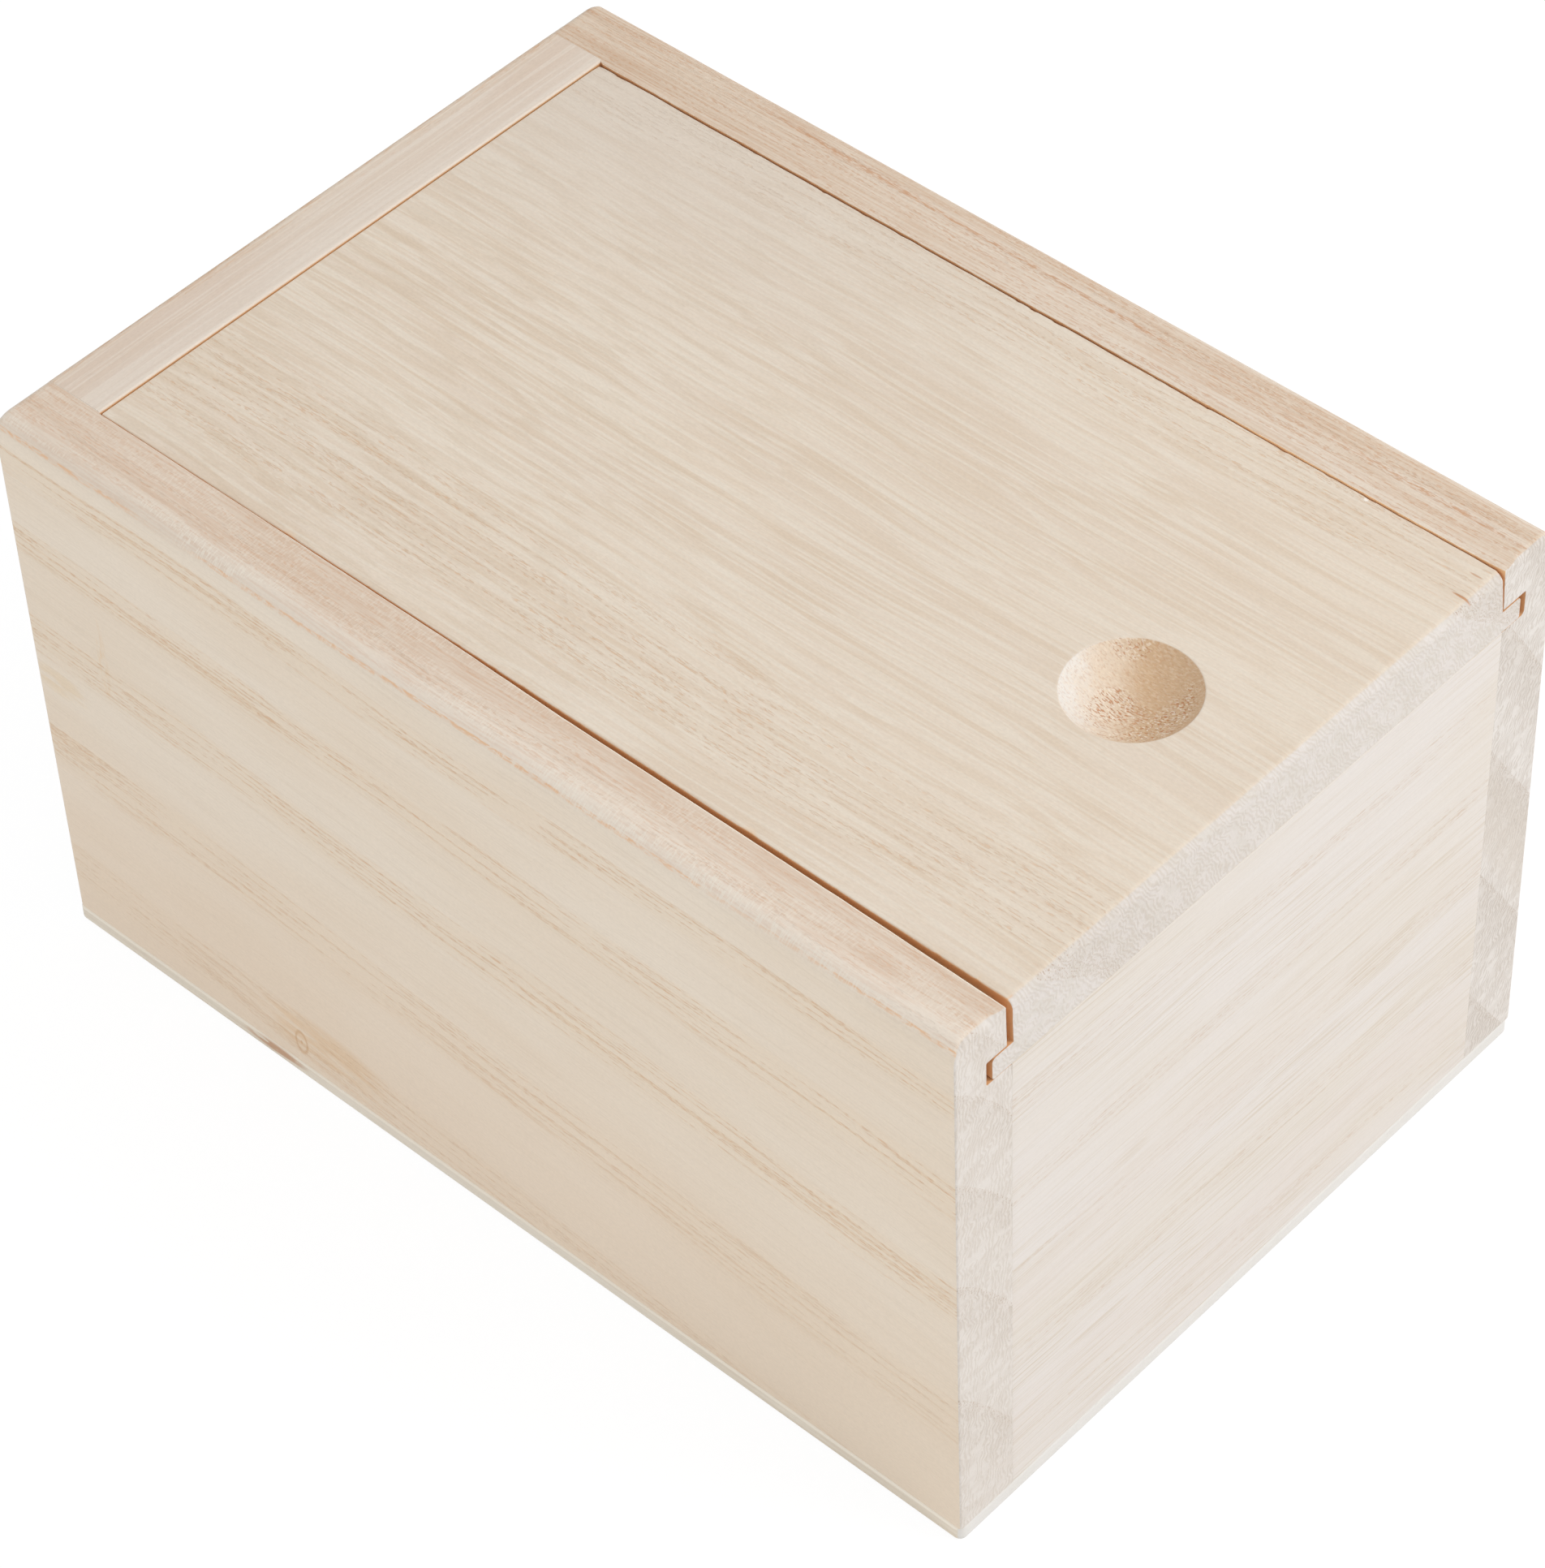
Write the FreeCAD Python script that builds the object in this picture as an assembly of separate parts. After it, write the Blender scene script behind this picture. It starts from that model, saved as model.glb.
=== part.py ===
import FreeCAD, Part
import os

# A wooden box with a sliding lid. Millimetres. +X points to the front, where the lid slides out,
# +Y to the right-hand side wall as seen from the front, and +Z up. The origin is the middle of the
# box's underside.

# Overall size of the closed box
box_length = 175.0
box_width = 121.0
box_height = 101.0

# Board thicknesses
side_thickness = 10.7
front_thickness = 10.7
back_thickness = 10.7
bottom_thickness = 3.0

# Groove in each side wall that the lid's tongues run in
lip_thickness = 7.5       # wood left above the groove
groove_height = 4.2
groove_depth = 4.8        # from the wall's inner face outwards

# Running clearances of the lid
lid_drop = 0.3            # lid's top below the rim
seat_clearance = 0.1      # tongue above the groove's floor and the front panel
lift_clearance = 0.3      # tongue below the lip
tongue_side_clearance = 1.1
lid_edge_clearance = 0.8  # lid's upper part to each lip
lid_back_clearance = 0.2  # closed lid to the back panel

# Finger recess in the lid: a shallow dish cut by a ball
recess_diameter = 19.2
recess_depth = 4.0
recess_from_front = 23.4
recess_off_centre = 1.0

# Sanded edges
rim_radius = 3.2          # outer long top edges
back_radius = 1.4         # outer edges of the back
front_ease = 1.3          # top edges at the front
lip_ease = 0.6            # lip's inner top edge
base_corner_radius = 2.0
base_edge_radius = 0.8

# Planes that the pieces share
front_x = box_length / 2
back_x = -box_length / 2
outer_y = box_width / 2
inner_y = outer_y - side_thickness
groove_y = inner_y + groove_depth
groove_top_z = box_height - lip_thickness
groove_floor_z = groove_top_z - groove_height
panel_back_x = back_x + back_thickness


def block(x0, x1, y0, y1, z0, z1):
    """A box between two corners."""
    size = (x1 - x0, y1 - y0, z1 - z0)
    return Part.makeBox(*size, FreeCAD.Vector(x0, y0, z0))


def rounded(shape, radius, wanted):
    """The shape with a fillet on each edge for which wanted(its bounding box) is true."""
    edges = [edge for edge in shape.Edges if wanted(edge.BoundBox)]
    return shape.makeFillet(radius, edges)


def at(value, place):
    """True where two coordinates agree."""
    return abs(value - place) < 1e-6


def lies_at(box, **places):
    """True where an edge's bounding box is flat at each named coordinate, such as z=101."""
    return all(
        at(getattr(box, axis.upper() + "Min"), place) and at(getattr(box, axis.upper() + "Max"), place)
        for axis, place in places.items()
    )


def side_wall(side):
    """A side board with its open-ended groove. side is 1 for the right wall and -1 for the left."""
    wall = block(back_x, front_x, inner_y, outer_y, bottom_thickness, box_height)
    groove = block(back_x, front_x, inner_y, groove_y, groove_floor_z, groove_top_z)
    wall = wall.cut(groove)
    largest_rim = 0.45 * min(lip_thickness, side_thickness)
    rim = min(rim_radius, largest_rim)
    wall = rounded(wall, rim, lambda b: lies_at(b, y=outer_y, z=box_height))
    wall = rounded(wall, min(lip_ease, largest_rim), lambda b: lies_at(b, y=inner_y, z=box_height))
    front = min(front_ease, largest_rim)
    wall = rounded(wall, front, lambda b: lies_at(b, x=front_x) and b.ZMin > box_height - rim - 1e-6)
    back = min(back_radius, largest_rim)
    wall = rounded(wall, back, lambda b: lies_at(b, x=back_x) and is_outer_back_edge(b, rim))
    if side < 0:
        wall = wall.mirror(FreeCAD.Vector(0, 0, 0), FreeCAD.Vector(0, 1, 0))
    return wall


def is_outer_back_edge(box, rim):
    """The rim's edges and the outer vertical edge at a side wall's back end."""
    on_rim = box.ZMin > box_height - rim - 1e-6
    on_outside = at(box.YMin, outer_y) and at(box.YMax, outer_y)
    return on_rim or on_outside


def back_panel():
    """The full-height board between the side walls, which the closed lid stops against."""
    panel = block(back_x, panel_back_x, -inner_y, inner_y, bottom_thickness, box_height)
    radius = min(back_radius, 0.45 * back_thickness)
    return rounded(panel, radius, lambda b: lies_at(b, x=back_x, z=box_height))


def front_panel():
    """The lower board between the side walls. The lid slides out over it."""
    return block(front_x - front_thickness, front_x, -inner_y, inner_y, bottom_thickness, groove_floor_z)


def bottom_panel():
    """The thin board glued under the four walls, flush with their outside."""
    panel = block(back_x, front_x, -outer_y, outer_y, 0, bottom_thickness)
    panel = rounded(panel, base_corner_radius, lambda b: at(b.ZMin, 0) and at(b.ZMax, bottom_thickness))
    radius = min(base_edge_radius, 0.45 * bottom_thickness)
    return rounded(panel, radius, lambda b: lies_at(b, z=0))


def lid():
    """The sliding lid: a thick board whose top is rebated on both long edges to leave tongues."""
    lid_back_x = panel_back_x + lid_back_clearance
    lid_bottom_z = groove_floor_z + seat_clearance
    lid_top_z = box_height - lid_drop
    tongue_top_z = groove_top_z - lift_clearance
    upper_y = inner_y - lid_edge_clearance
    tongue_y = groove_y - tongue_side_clearance
    tongues = block(lid_back_x, front_x, -tongue_y, tongue_y, lid_bottom_z, tongue_top_z)
    upper = block(lid_back_x, front_x, -upper_y, upper_y, lid_bottom_z, lid_top_z)
    board = upper.fuse(tongues).removeSplitter()
    radius = min(front_ease, 0.45 * (lid_top_z - tongue_top_z))
    board = rounded(board, radius, lambda b: lies_at(b, x=front_x, z=lid_top_z))
    return board.cut(recess_ball(lid_top_z))


def recess_ball(lid_top_z):
    """The ball that cuts the dish: its cap of the recess's diameter and depth lies in the lid."""
    half = recess_diameter / 2
    ball_radius = (half ** 2 + recess_depth ** 2) / (2 * recess_depth)
    centre = FreeCAD.Vector(
        front_x - recess_from_front,
        recess_off_centre,
        lid_top_z - recess_depth + ball_radius,
    )
    return Part.makeSphere(ball_radius, centre)


def save(name, shape):
    """One STEP file for one piece, after a check that it is one sound solid."""
    if len(shape.Solids) != 1 or not shape.isValid():
        raise ValueError(name + " is not one sound solid")
    solid = shape.Solids[0]
    solid.exportStep("parts/" + name + ".step")
    print(name, "volume", round(solid.Volume / 1000, 2), "cm3")


os.makedirs("parts", exist_ok=True)
save("left_side", side_wall(-1))
save("right_side", side_wall(1))
save("back_panel", back_panel())
save("front_panel", front_panel())
save("bottom_panel", bottom_panel())
save("lid", lid())
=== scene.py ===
# %% [markdown]
# # A wooden box with a sliding lid
#
# The box is six boards of pale, unfinished, ring-porous wood: two sides, a back, a front, a thin
# bottom, and a thick lid whose tongues run in grooves in the sides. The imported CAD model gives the
# place and size of each board. This lesson dresses each one: a surface worked out with numpy, with
# sanded edges and small saw marks, and a solid wood finish that runs through the board, so that
# its faces and its end grain agree where they meet.
#
# Solid colour on plain blocks would be the quick way, and it reads as plastic: wood is told by its
# streaks, pores and end grain, and by edges that catch the light.

# %% Load the frame
import math

import bmesh
import bpy
import numpy as np
from mathutils import Matrix, Vector


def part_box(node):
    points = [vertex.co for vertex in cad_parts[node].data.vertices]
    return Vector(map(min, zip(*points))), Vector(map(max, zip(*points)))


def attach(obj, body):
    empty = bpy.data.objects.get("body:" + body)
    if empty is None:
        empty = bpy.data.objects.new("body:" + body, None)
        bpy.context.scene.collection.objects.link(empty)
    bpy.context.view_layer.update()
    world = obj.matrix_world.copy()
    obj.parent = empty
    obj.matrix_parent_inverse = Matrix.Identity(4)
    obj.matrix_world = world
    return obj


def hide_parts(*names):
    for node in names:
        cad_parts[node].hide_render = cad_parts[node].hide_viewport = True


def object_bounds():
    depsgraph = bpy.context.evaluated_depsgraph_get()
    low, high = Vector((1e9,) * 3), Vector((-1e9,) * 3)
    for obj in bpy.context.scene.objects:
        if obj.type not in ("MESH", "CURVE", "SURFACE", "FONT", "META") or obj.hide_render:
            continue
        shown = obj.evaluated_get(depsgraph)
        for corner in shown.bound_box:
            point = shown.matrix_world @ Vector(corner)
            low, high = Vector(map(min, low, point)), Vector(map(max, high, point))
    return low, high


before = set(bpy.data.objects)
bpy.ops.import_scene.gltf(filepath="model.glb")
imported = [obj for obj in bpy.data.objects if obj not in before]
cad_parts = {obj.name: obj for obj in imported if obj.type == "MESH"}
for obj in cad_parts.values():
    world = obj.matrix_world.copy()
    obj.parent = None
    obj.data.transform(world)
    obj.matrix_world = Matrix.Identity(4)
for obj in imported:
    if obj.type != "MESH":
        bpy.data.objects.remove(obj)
cad_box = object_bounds()

# %% [markdown]
# ## Sizes
#
# All sizes below are in millimetres, because boards are thought of in millimetres. One factor turns
# them into Blender's metres at the moment a mesh is made. The planes that boards share are read
# from the CAD boxes, so the dressed boards stay where the real ones are.

# %% Sizes that the boards share
MM = 0.001
GROOVE_HEIGHT = 4.2
GROOVE_DEPTH = 4.8              # from the side board's inner face outwards


def node_box(node):
    """The lowest and highest corner of a CAD node, in millimetres."""
    low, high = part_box(node)
    return np.array(low) / MM, np.array(high) / MM


whole_low, whole_high = np.array(cad_box[0]) / MM, np.array(cad_box[1]) / MM
lid_low, lid_high = node_box("lid")
front_low, front_high = node_box("front_panel")
_, back_high = node_box("back_panel")
BACK_X, FRONT_X = whole_low[0], whole_high[0]
OUTER_Y = whole_high[1]
TOP_Z = whole_high[2]
FOOT_Z = front_low[2]           # underside of the walls, on the bottom board
INNER_Y = front_high[1]         # inner faces of the side boards
GROOVE_FLOOR = front_high[2]    # level of the grooves' floors
GROOVE_TOP = GROOVE_FLOOR + GROOVE_HEIGHT
GROOVE_Y = INNER_Y + GROOVE_DEPTH
print("length %.1f, width %.1f, height %.1f mm" % tuple(whole_high - whole_low))

# %% [markdown]
# ## Camera
#
# The camera looks down on the front left corner from a little under 50 degrees, through a long lens
# of about 125 mm, so the box's edges are nearly parallel. A camera is easiest to read as a turn
# round the box, a height above the horizon, a distance and a small roll, and the matrix is built
# from those.

# %% Camera
CAMERA_AZIMUTH = 44.39
CAMERA_ELEVATION = 46.22
CAMERA_DISTANCE = 759.2
CAMERA_ROLL = -2.72
CAMERA_TARGET = (6.7, -7.2, 50.5)
CAMERA_LENS = 124.7


def direction(azimuth, elevation):
    """The unit vector towards a place round the box. Azimuth 0 is -Y and 90 is +X."""
    turn, lift = math.radians(azimuth), math.radians(elevation)
    flat = math.cos(lift)
    return Vector((math.sin(turn) * flat, -math.cos(turn) * flat, math.sin(lift)))


def aimed(place, target, roll=0.0):
    """The matrix of a camera or lamp that stands at a place, in metres, and looks at a target."""
    look = (Vector(target) - Vector(place)).normalized()
    turn = look.to_track_quat("-Z", "Y").to_matrix().to_4x4()
    return Matrix.Translation(place) @ turn @ Matrix.Rotation(math.radians(roll), 4, "Z")


def add_camera():
    """The camera, made the scene's own."""
    data = bpy.data.cameras.new("camera")
    data.lens = CAMERA_LENS
    data.clip_start, data.clip_end = 0.01, 50
    camera = bpy.data.objects.new("camera", data)
    bpy.context.scene.collection.objects.link(camera)
    target = Vector(CAMERA_TARGET) * MM
    place = target + direction(CAMERA_AZIMUTH, CAMERA_ELEVATION) * CAMERA_DISTANCE * MM
    camera.matrix_world = aimed(place, target, CAMERA_ROLL)
    bpy.context.scene.camera = camera


add_camera()
print("camera %.0f mm from the box, lens %.1f mm" % (CAMERA_DISTANCE, CAMERA_LENS))

# %% [markdown]
# ## Shader sums
#
# A wood finish is arithmetic: a ring count, a few stretched noises, and masks made of them. Written
# as nodes placed one by one it can't be read. So one small class wraps an output socket, and
# Python's own operators on it add Math nodes. A bar between two masks gives the larger one. Colours
# never go through Math nodes, which would turn them grey: they are mixed by a mask.

# %% The wire class
class Wire:
    """An output socket. Sums and products of wires and numbers add Math nodes to its tree."""

    def __init__(self, tree, socket):
        self.tree = tree
        self.socket = socket

    def add(self, kind, settings, inputs, output=0):
        """A new node: its settings first, then its sockets' values or links. Gives one output."""
        node = self.tree.nodes.new(kind)
        for key, value in settings.items():
            setattr(node, key, value)
        for key, value in inputs.items():
            if isinstance(value, Wire):
                self.tree.links.new(value.socket, node.inputs[key])
            else:
                node.inputs[key].default_value = value
        return Wire(self.tree, node.outputs[output])

    def maths(self, operation, *values):
        """A Math node of this operation."""
        return self.add("ShaderNodeMath", {"operation": operation}, dict(enumerate(values)))

    def to_output(self, kind):
        """This shader as the tree's surface."""
        output = self.tree.nodes.new(kind)
        self.tree.links.new(self.socket, output.inputs["Surface"])

    def __add__(self, other):
        return self.maths("ADD", self, other)

    def __radd__(self, other):
        return self.maths("ADD", other, self)

    def __sub__(self, other):
        return self.maths("SUBTRACT", self, other)

    def __rsub__(self, other):
        return self.maths("SUBTRACT", other, self)

    def __mul__(self, other):
        return self.maths("MULTIPLY", self, other)

    def __rmul__(self, other):
        return self.maths("MULTIPLY", other, self)

    def __truediv__(self, other):
        return self.maths("DIVIDE", self, other)

    def __pow__(self, other):
        return self.maths("POWER", self, other)

    def __or__(self, other):
        return self.maths("MAXIMUM", self, other)

    def __abs__(self):
        return self.maths("ABSOLUTE", self)

    def step(self, low, high):
        """0 below low, 1 above high, and a smooth rise between. High may be the lower number."""
        if low > high:
            return 1 - self.step(high, low)
        settings = {"interpolation_type": "SMOOTHSTEP"}
        inputs = {"Value": self, "From Min": low, "From Max": high}
        return self.add("ShaderNodeMapRange", settings, inputs)

    def between(self, low, high, soft):
        """1 between two numbers and 0 outside, with soft shoulders."""
        return self.step(low - soft, low + soft) * self.step(high + soft, high - soft)

    def mix(self, first, second):
        """First where this mask is 0 and second where it is 1. Both are colours."""
        settings = {"data_type": "RGBA"}
        return self.add("ShaderNodeMix", settings, {0: self, 6: first, 7: second}, output=2)


print("wires ready")

# %% [markdown]
# Colours are given as they look on a screen, from 0 to 255, because that is how the eye judges them.
# Blender reckons in linear numbers, so each is turned into those. A finish starts from its object's
# own coordinates in millimetres, so that the lid's wood slides with the lid.

# %% Colours and finishes
def paint(red, green, blue):
    """A colour given as screen values from 0 to 255, in Blender's linear numbers."""
    screen = np.array([red, green, blue]) / 255
    linear = np.where(screen <= 0.04045, screen / 12.92, ((screen + 0.055) / 1.055) ** 2.4)
    return (*linear.tolist(), 1.0)


def new_finish(name):
    """A new material and the wire of its object coordinates, in millimetres."""
    material = bpy.data.materials.new(name)
    material.use_nodes = True
    tree = material.node_tree
    tree.nodes.clear()
    start = Wire(tree, None)
    place = start.add("ShaderNodeTexCoord", {}, {}, output="Object")
    place = place.add("ShaderNodeVectorMath", {"operation": "SCALE"}, {0: place, "Scale": 1 / MM})
    return material, place


print("white in linear numbers:", paint(255, 255, 255))

# %% [markdown]
# ## Ground
#
# The box stands on a white ground. Rays from the camera see it as almost pure white but keep a trace
# of the box's shadow. More lamps would bleach the pale wood, so the white is in the ground's own
# material, as a glow that only the eye sees.

# %% Ground
WHITE = (1, 1, 1, 1)
GROUND_HALF = 6.0               # metres
GROUND_WHITE = (0.93, 0.93, 0.93, 1)
GLOW_STRENGTH = 1.05
GLOW_SHARE = 0.86               # of the glow in what the eye sees, and the rest takes the shadow


def seen_directly(wire):
    """1 for rays that the eye follows, from the camera or by way of gloss or glass."""
    names = ("Is Camera Ray", "Is Glossy Ray", "Is Transmission Ray")
    camera, gloss, glass = [wire.add("ShaderNodeLightPath", {}, {}, output=name) for name in names]
    return camera | gloss | glass


def add_ground():
    """A wide white floor just under the box."""
    corners = GROUND_HALF * np.array([[-1, -1, 0], [1, -1, 0], [1, 1, 0], [-1, 1, 0]], float)
    mesh = bpy.data.meshes.new("ground")
    mesh.from_pydata(corners.tolist(), [], [(0, 1, 2, 3)])
    ground = bpy.data.objects.new("ground", mesh)
    bpy.context.scene.collection.objects.link(ground)
    material, place = new_finish("ground_white")
    matt = place.add("ShaderNodeBsdfDiffuse", {}, {"Color": GROUND_WHITE})
    glow = place.add("ShaderNodeEmission", {}, {"Color": WHITE, "Strength": GLOW_STRENGTH})
    both = place.add("ShaderNodeMixShader", {}, {0: seen_directly(place) * GLOW_SHARE, 1: matt, 2: glow})
    both.to_output("ShaderNodeOutputMaterial")
    mesh.materials.append(material)


add_ground()
print("ground %.0f m wide" % (2 * GROUND_HALF))

# %% [markdown]
# ## Light
#
# The light is soft and even. A white dome gives most of it. One large lamp to the right of the front
# gives the dish in the lid its bright and its shaded side, and a weak one on the left lifts the left
# board a little.

# %% Light
SKY_STRENGTH = 0.75
SKY_TINT = (0.97, 0.985, 1, 1)
LAMPS = {
    # watts, azimuth, elevation, distance and width in metres
    "key": (7.4, 122, 42, 1.3, 0.8),
    "fill": (2.4, -8, 12, 1.3, 0.9),
}


def add_sky():
    """A white dome: softer than full white as a light, and full white to the eye."""
    world = bpy.data.worlds.new("sky")
    bpy.context.scene.world = world
    world.use_nodes = True
    tree = world.node_tree
    tree.nodes.clear()
    start = Wire(tree, None)
    light = start.add("ShaderNodeBackground", {}, {"Color": SKY_TINT, "Strength": SKY_STRENGTH})
    white = start.add("ShaderNodeBackground", {}, {"Color": WHITE, "Strength": 1.0})
    both = start.add("ShaderNodeMixShader", {}, {0: seen_directly(start), 1: light, 2: white})
    both.to_output("ShaderNodeOutputWorld")


def add_lamp(name, watts, azimuth, elevation, distance, width):
    """A large round lamp that looks at the middle of the box."""
    data = bpy.data.lights.new(name, "AREA")
    data.shape = "DISK"
    data.size = width
    data.energy = watts
    lamp = bpy.data.objects.new(name, data)
    bpy.context.scene.collection.objects.link(lamp)
    lamp.matrix_world = aimed(direction(azimuth, elevation) * distance, (0, 0, TOP_Z * MM / 2))


add_sky()
for name, facts in LAMPS.items():
    add_lamp(name, *facts)
bpy.context.scene.view_settings.view_transform = "Standard"
print("sky %.2f with lamps:" % SKY_STRENGTH, LAMPS)

# %% [markdown]
# ## A board as a stack of outlines
#
# Every board is one outline carried along a line: a side board's groove and rounded rim are in its
# outline, and the line runs along the grain. A Bevel modifier would round all edges by one radius,
# but hands and sanders don't. Here each corner of the outline has its own radius, which may change
# along the board, and each point of the outline has its own easing at the two ends.

# %% Outlines with rounded corners
GUARD = 0.05     # distance of the row that keeps a flat face flat beside an eased edge
SHARP = 0.1      # easing of an edge that only lost its burr
FLUSH = 0.02     # easing of an edge that was sanded level with the board glued beside it
CRISP = 0.18     # radius of an outline's corner at such an edge, wide enough for easing and guard
ARC_STEPS = 6


def unit(vector):
    """The vector at a length of 1."""
    return vector / np.linalg.norm(vector)


def corner_arc(before, corner, after, radius):
    """Points and outward normals of one corner of an anticlockwise outline, between two neighbours.

    The arc touches both sides at radius / tan(half the angle between the sides), and its centre lies
    on the bisector at radius / sin(the same half angle).
    """
    back, ahead = unit(before - corner), unit(after - corner)
    if radius == 0:
        flat = unit(ahead - back)
        return corner[None], np.array([[flat[1], -flat[0]]])
    half = math.acos(np.clip(back @ ahead, -1, 1)) / 2
    centre = corner + unit(back + ahead) * radius / math.sin(half)
    first = corner + back * radius / math.tan(half) - centre
    last = corner + ahead * radius / math.tan(half) - centre
    start = math.atan2(first[1], first[0])
    turn = (math.atan2(last[1], last[0]) - start + math.pi) % (2 * math.pi) - math.pi
    angles = start + turn * np.linspace(0, 1, ARC_STEPS + 1)
    spokes = np.stack([np.cos(angles), np.sin(angles)], axis=1)
    return centre + radius * spokes, spokes * math.copysign(1, turn)


def rounded_outline(corners, steps):
    """Points and outward normals of a closed anticlockwise outline with rounded corners.

    corners are rows of (a, b, radius), and steps gives the spacing along the side that follows each
    corner.
    """
    corners = np.asarray(corners, float)
    places, radii = corners[:, :2], corners[:, 2]
    after = [*range(1, len(corners)), 0]
    arcs = [corner_arc(places[i - 1], places[i], places[j], radii[i]) for i, j in enumerate(after)]
    points, normals = [], []
    for i, j in enumerate(after):
        arc_points, arc_normals = arcs[i]
        start, end = arc_points[-1], arcs[j][0][0]
        along = unit(end - start)
        length = np.linalg.norm(end - start)
        pieces = max(1, round(np.linalg.norm(places[j] - places[i]) / steps[i]))
        inner = np.linspace(0, 1, pieces + 1)[1:-1]
        guards = [GUARD / length] if radii[i] > 0 else []
        far_guards = [1 - GUARD / length] if radii[j] > 0 else []
        shares = np.concatenate([guards, inner, far_guards])
        straight = start + np.outer(shares, end - start)
        points += [arc_points, straight]
        normals += [arc_normals, np.tile([along[1], -along[0]], (len(straight), 1))]
    return np.concatenate(points), np.concatenate(normals)


square, _ = rounded_outline([(0, 0, 1), (10, 0, 1), (10, 10, 1), (0, 10, 1)], [5.0] * 4)
print("a square of 10 mm with rounded corners takes %d points" % len(square))

# %% [markdown]
# The rows of a stack run from one end of the board to the other. At each end six rows follow a
# quarter circle: a point with easing r moves in by r (1 - sin t) where its row stands r (1 - cos t)
# from the end face, with t from 0 at the end face to a right angle. One more row lies on the end face,
# a little inside its edge, and keeps it flat. A point moves in against its outline's normal, or the
# way that it is given. Each end face is one flat face that closes the stack.

# %% Stacks
EASE_ANGLES = np.radians([0, 15, 30, 50, 70, 90])
CLEARANCE = 1.02    # plain rows stay this many easings away from an end


def eased_end(ease):
    """The rows that ease one end, from its face inwards: their insets and distances from the face."""
    insets = np.concatenate([[ease + GUARD], np.outer(1 - np.sin(EASE_ANGLES), ease)])
    distances = np.concatenate([[0 * ease], np.outer(1 - np.cos(EASE_ANGLES), ease)])
    return insets, distances


def stack_rows(points, normals, stations, ease_low, ease_high):
    """The rows of a stack as (inset points, heights, normals), with both ends eased.

    points and normals are arrays (stations, points, 2). The easings are one radius for each point.
    """
    low_inset, low_rise = eased_end(ease_low)
    high_inset, high_rise = eased_end(ease_high)
    after = stations > stations[0] + CLEARANCE * ease_low.max()
    clear = after & (stations < stations[-1] - CLEARANCE * ease_high.max())
    middle = np.repeat(stations[clear, None], points.shape[1], axis=1)
    insets = np.concatenate([low_inset, 0 * middle, high_inset[::-1]])
    heights = np.concatenate([stations[0] + low_rise, middle, stations[-1] - high_rise[::-1]])
    ends = np.concatenate([[0] * len(low_inset), np.flatnonzero(clear), [-1] * len(high_inset)])
    return points[ends] - normals[ends] * insets[..., None], heights, normals[ends]


def even_rows(outline, stations, ease_low, ease_high):
    """The rows of a stack that carries one outline, as points and normals, with even easings."""
    points, normals = [np.repeat(part[None], len(stations), axis=0) for part in outline]
    full = np.ones(points.shape[1])
    return stack_rows(points, normals, stations, ease_low * full, ease_high * full)


def stack_faces(rows, columns):
    """Quads between neighbouring rows of a closed outline, as an array of four indices each."""
    start = np.arange(rows - 1)[:, None] * columns
    here = np.arange(columns)[None]
    there = (here + 1) % columns
    quads = [start + here, start + there, start + there + columns, start + here + columns]
    return np.stack(quads, axis=-1).reshape(-1, 4)


def end_caps(rows, columns):
    """The first and the last row of a stack as one face each."""
    last = (rows - 1) * columns
    return [list(range(columns)), list(range(last, last + columns))]


def closed_stack(grid):
    """Points and faces of a closed stack, from its points as an array (rows, columns, 3)."""
    shape = grid.shape[:2]
    return grid.reshape(-1, 3), stack_faces(*shape).tolist() + end_caps(*shape)


print("each end of a stack is eased by %d rows" % (len(EASE_ANGLES) + 1))

# %% [markdown]
# A mesh from arrays is loose where two parts of it meet, and some faces may look inwards. So each
# piece is welded and its faces are turned outwards before it goes into the scene. Edges sharper than
# a crease stay sharp, and the rest is shaded smooth. Then the piece is tied to the body that carries
# it, and the CAD node that it stands for is hidden.

# %% Pieces
WELD = 2e-7     # points closer than this many metres are one point
CREASE = 40     # degrees


def make_piece(name, points, faces, body, node, slot_name):
    """A mesh object from points in millimetres, riding on a body in place of a CAD node."""
    mesh = bpy.data.meshes.new(name)
    mesh.from_pydata((np.asarray(points) * MM).tolist(), [], faces)
    work = bmesh.new()
    work.from_mesh(mesh)
    bmesh.ops.remove_doubles(work, verts=work.verts, dist=WELD)
    bmesh.ops.recalc_face_normals(work, faces=work.faces)
    open_edges = sum(1 for edge in work.edges if len(edge.link_faces) != 2)
    work.to_mesh(mesh)
    work.free()
    mesh.polygons.foreach_set("use_smooth", np.ones(len(mesh.polygons), bool))
    mesh.set_sharp_from_angle(angle=math.radians(CREASE))
    piece = bpy.data.objects.new(name, mesh)
    bpy.context.scene.collection.objects.link(piece)
    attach(piece, body)
    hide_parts(node)
    print("%s: %d faces, %d open edges" % (name, len(mesh.polygons), open_edges))


print("points closer than %g mm are welded" % (WELD / MM))

# %% [markdown]
# Sawn and sanded edges are never quite straight. A smooth noise, made of random numbers at whole
# steps with a smooth blend between them, moves edge points by a few hundredths of a millimetre. The
# numbers come from a seeded generator, so the box is the same each time.

# %% Seeded noise for shapes
TABLE = 64


def rise(value, low, high):
    """The smooth step from 0 at low to 1 at high, for arrays."""
    share = np.clip((value - low) / (high - low), 0, 1)
    return share * share * (3 - 2 * share)


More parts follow.
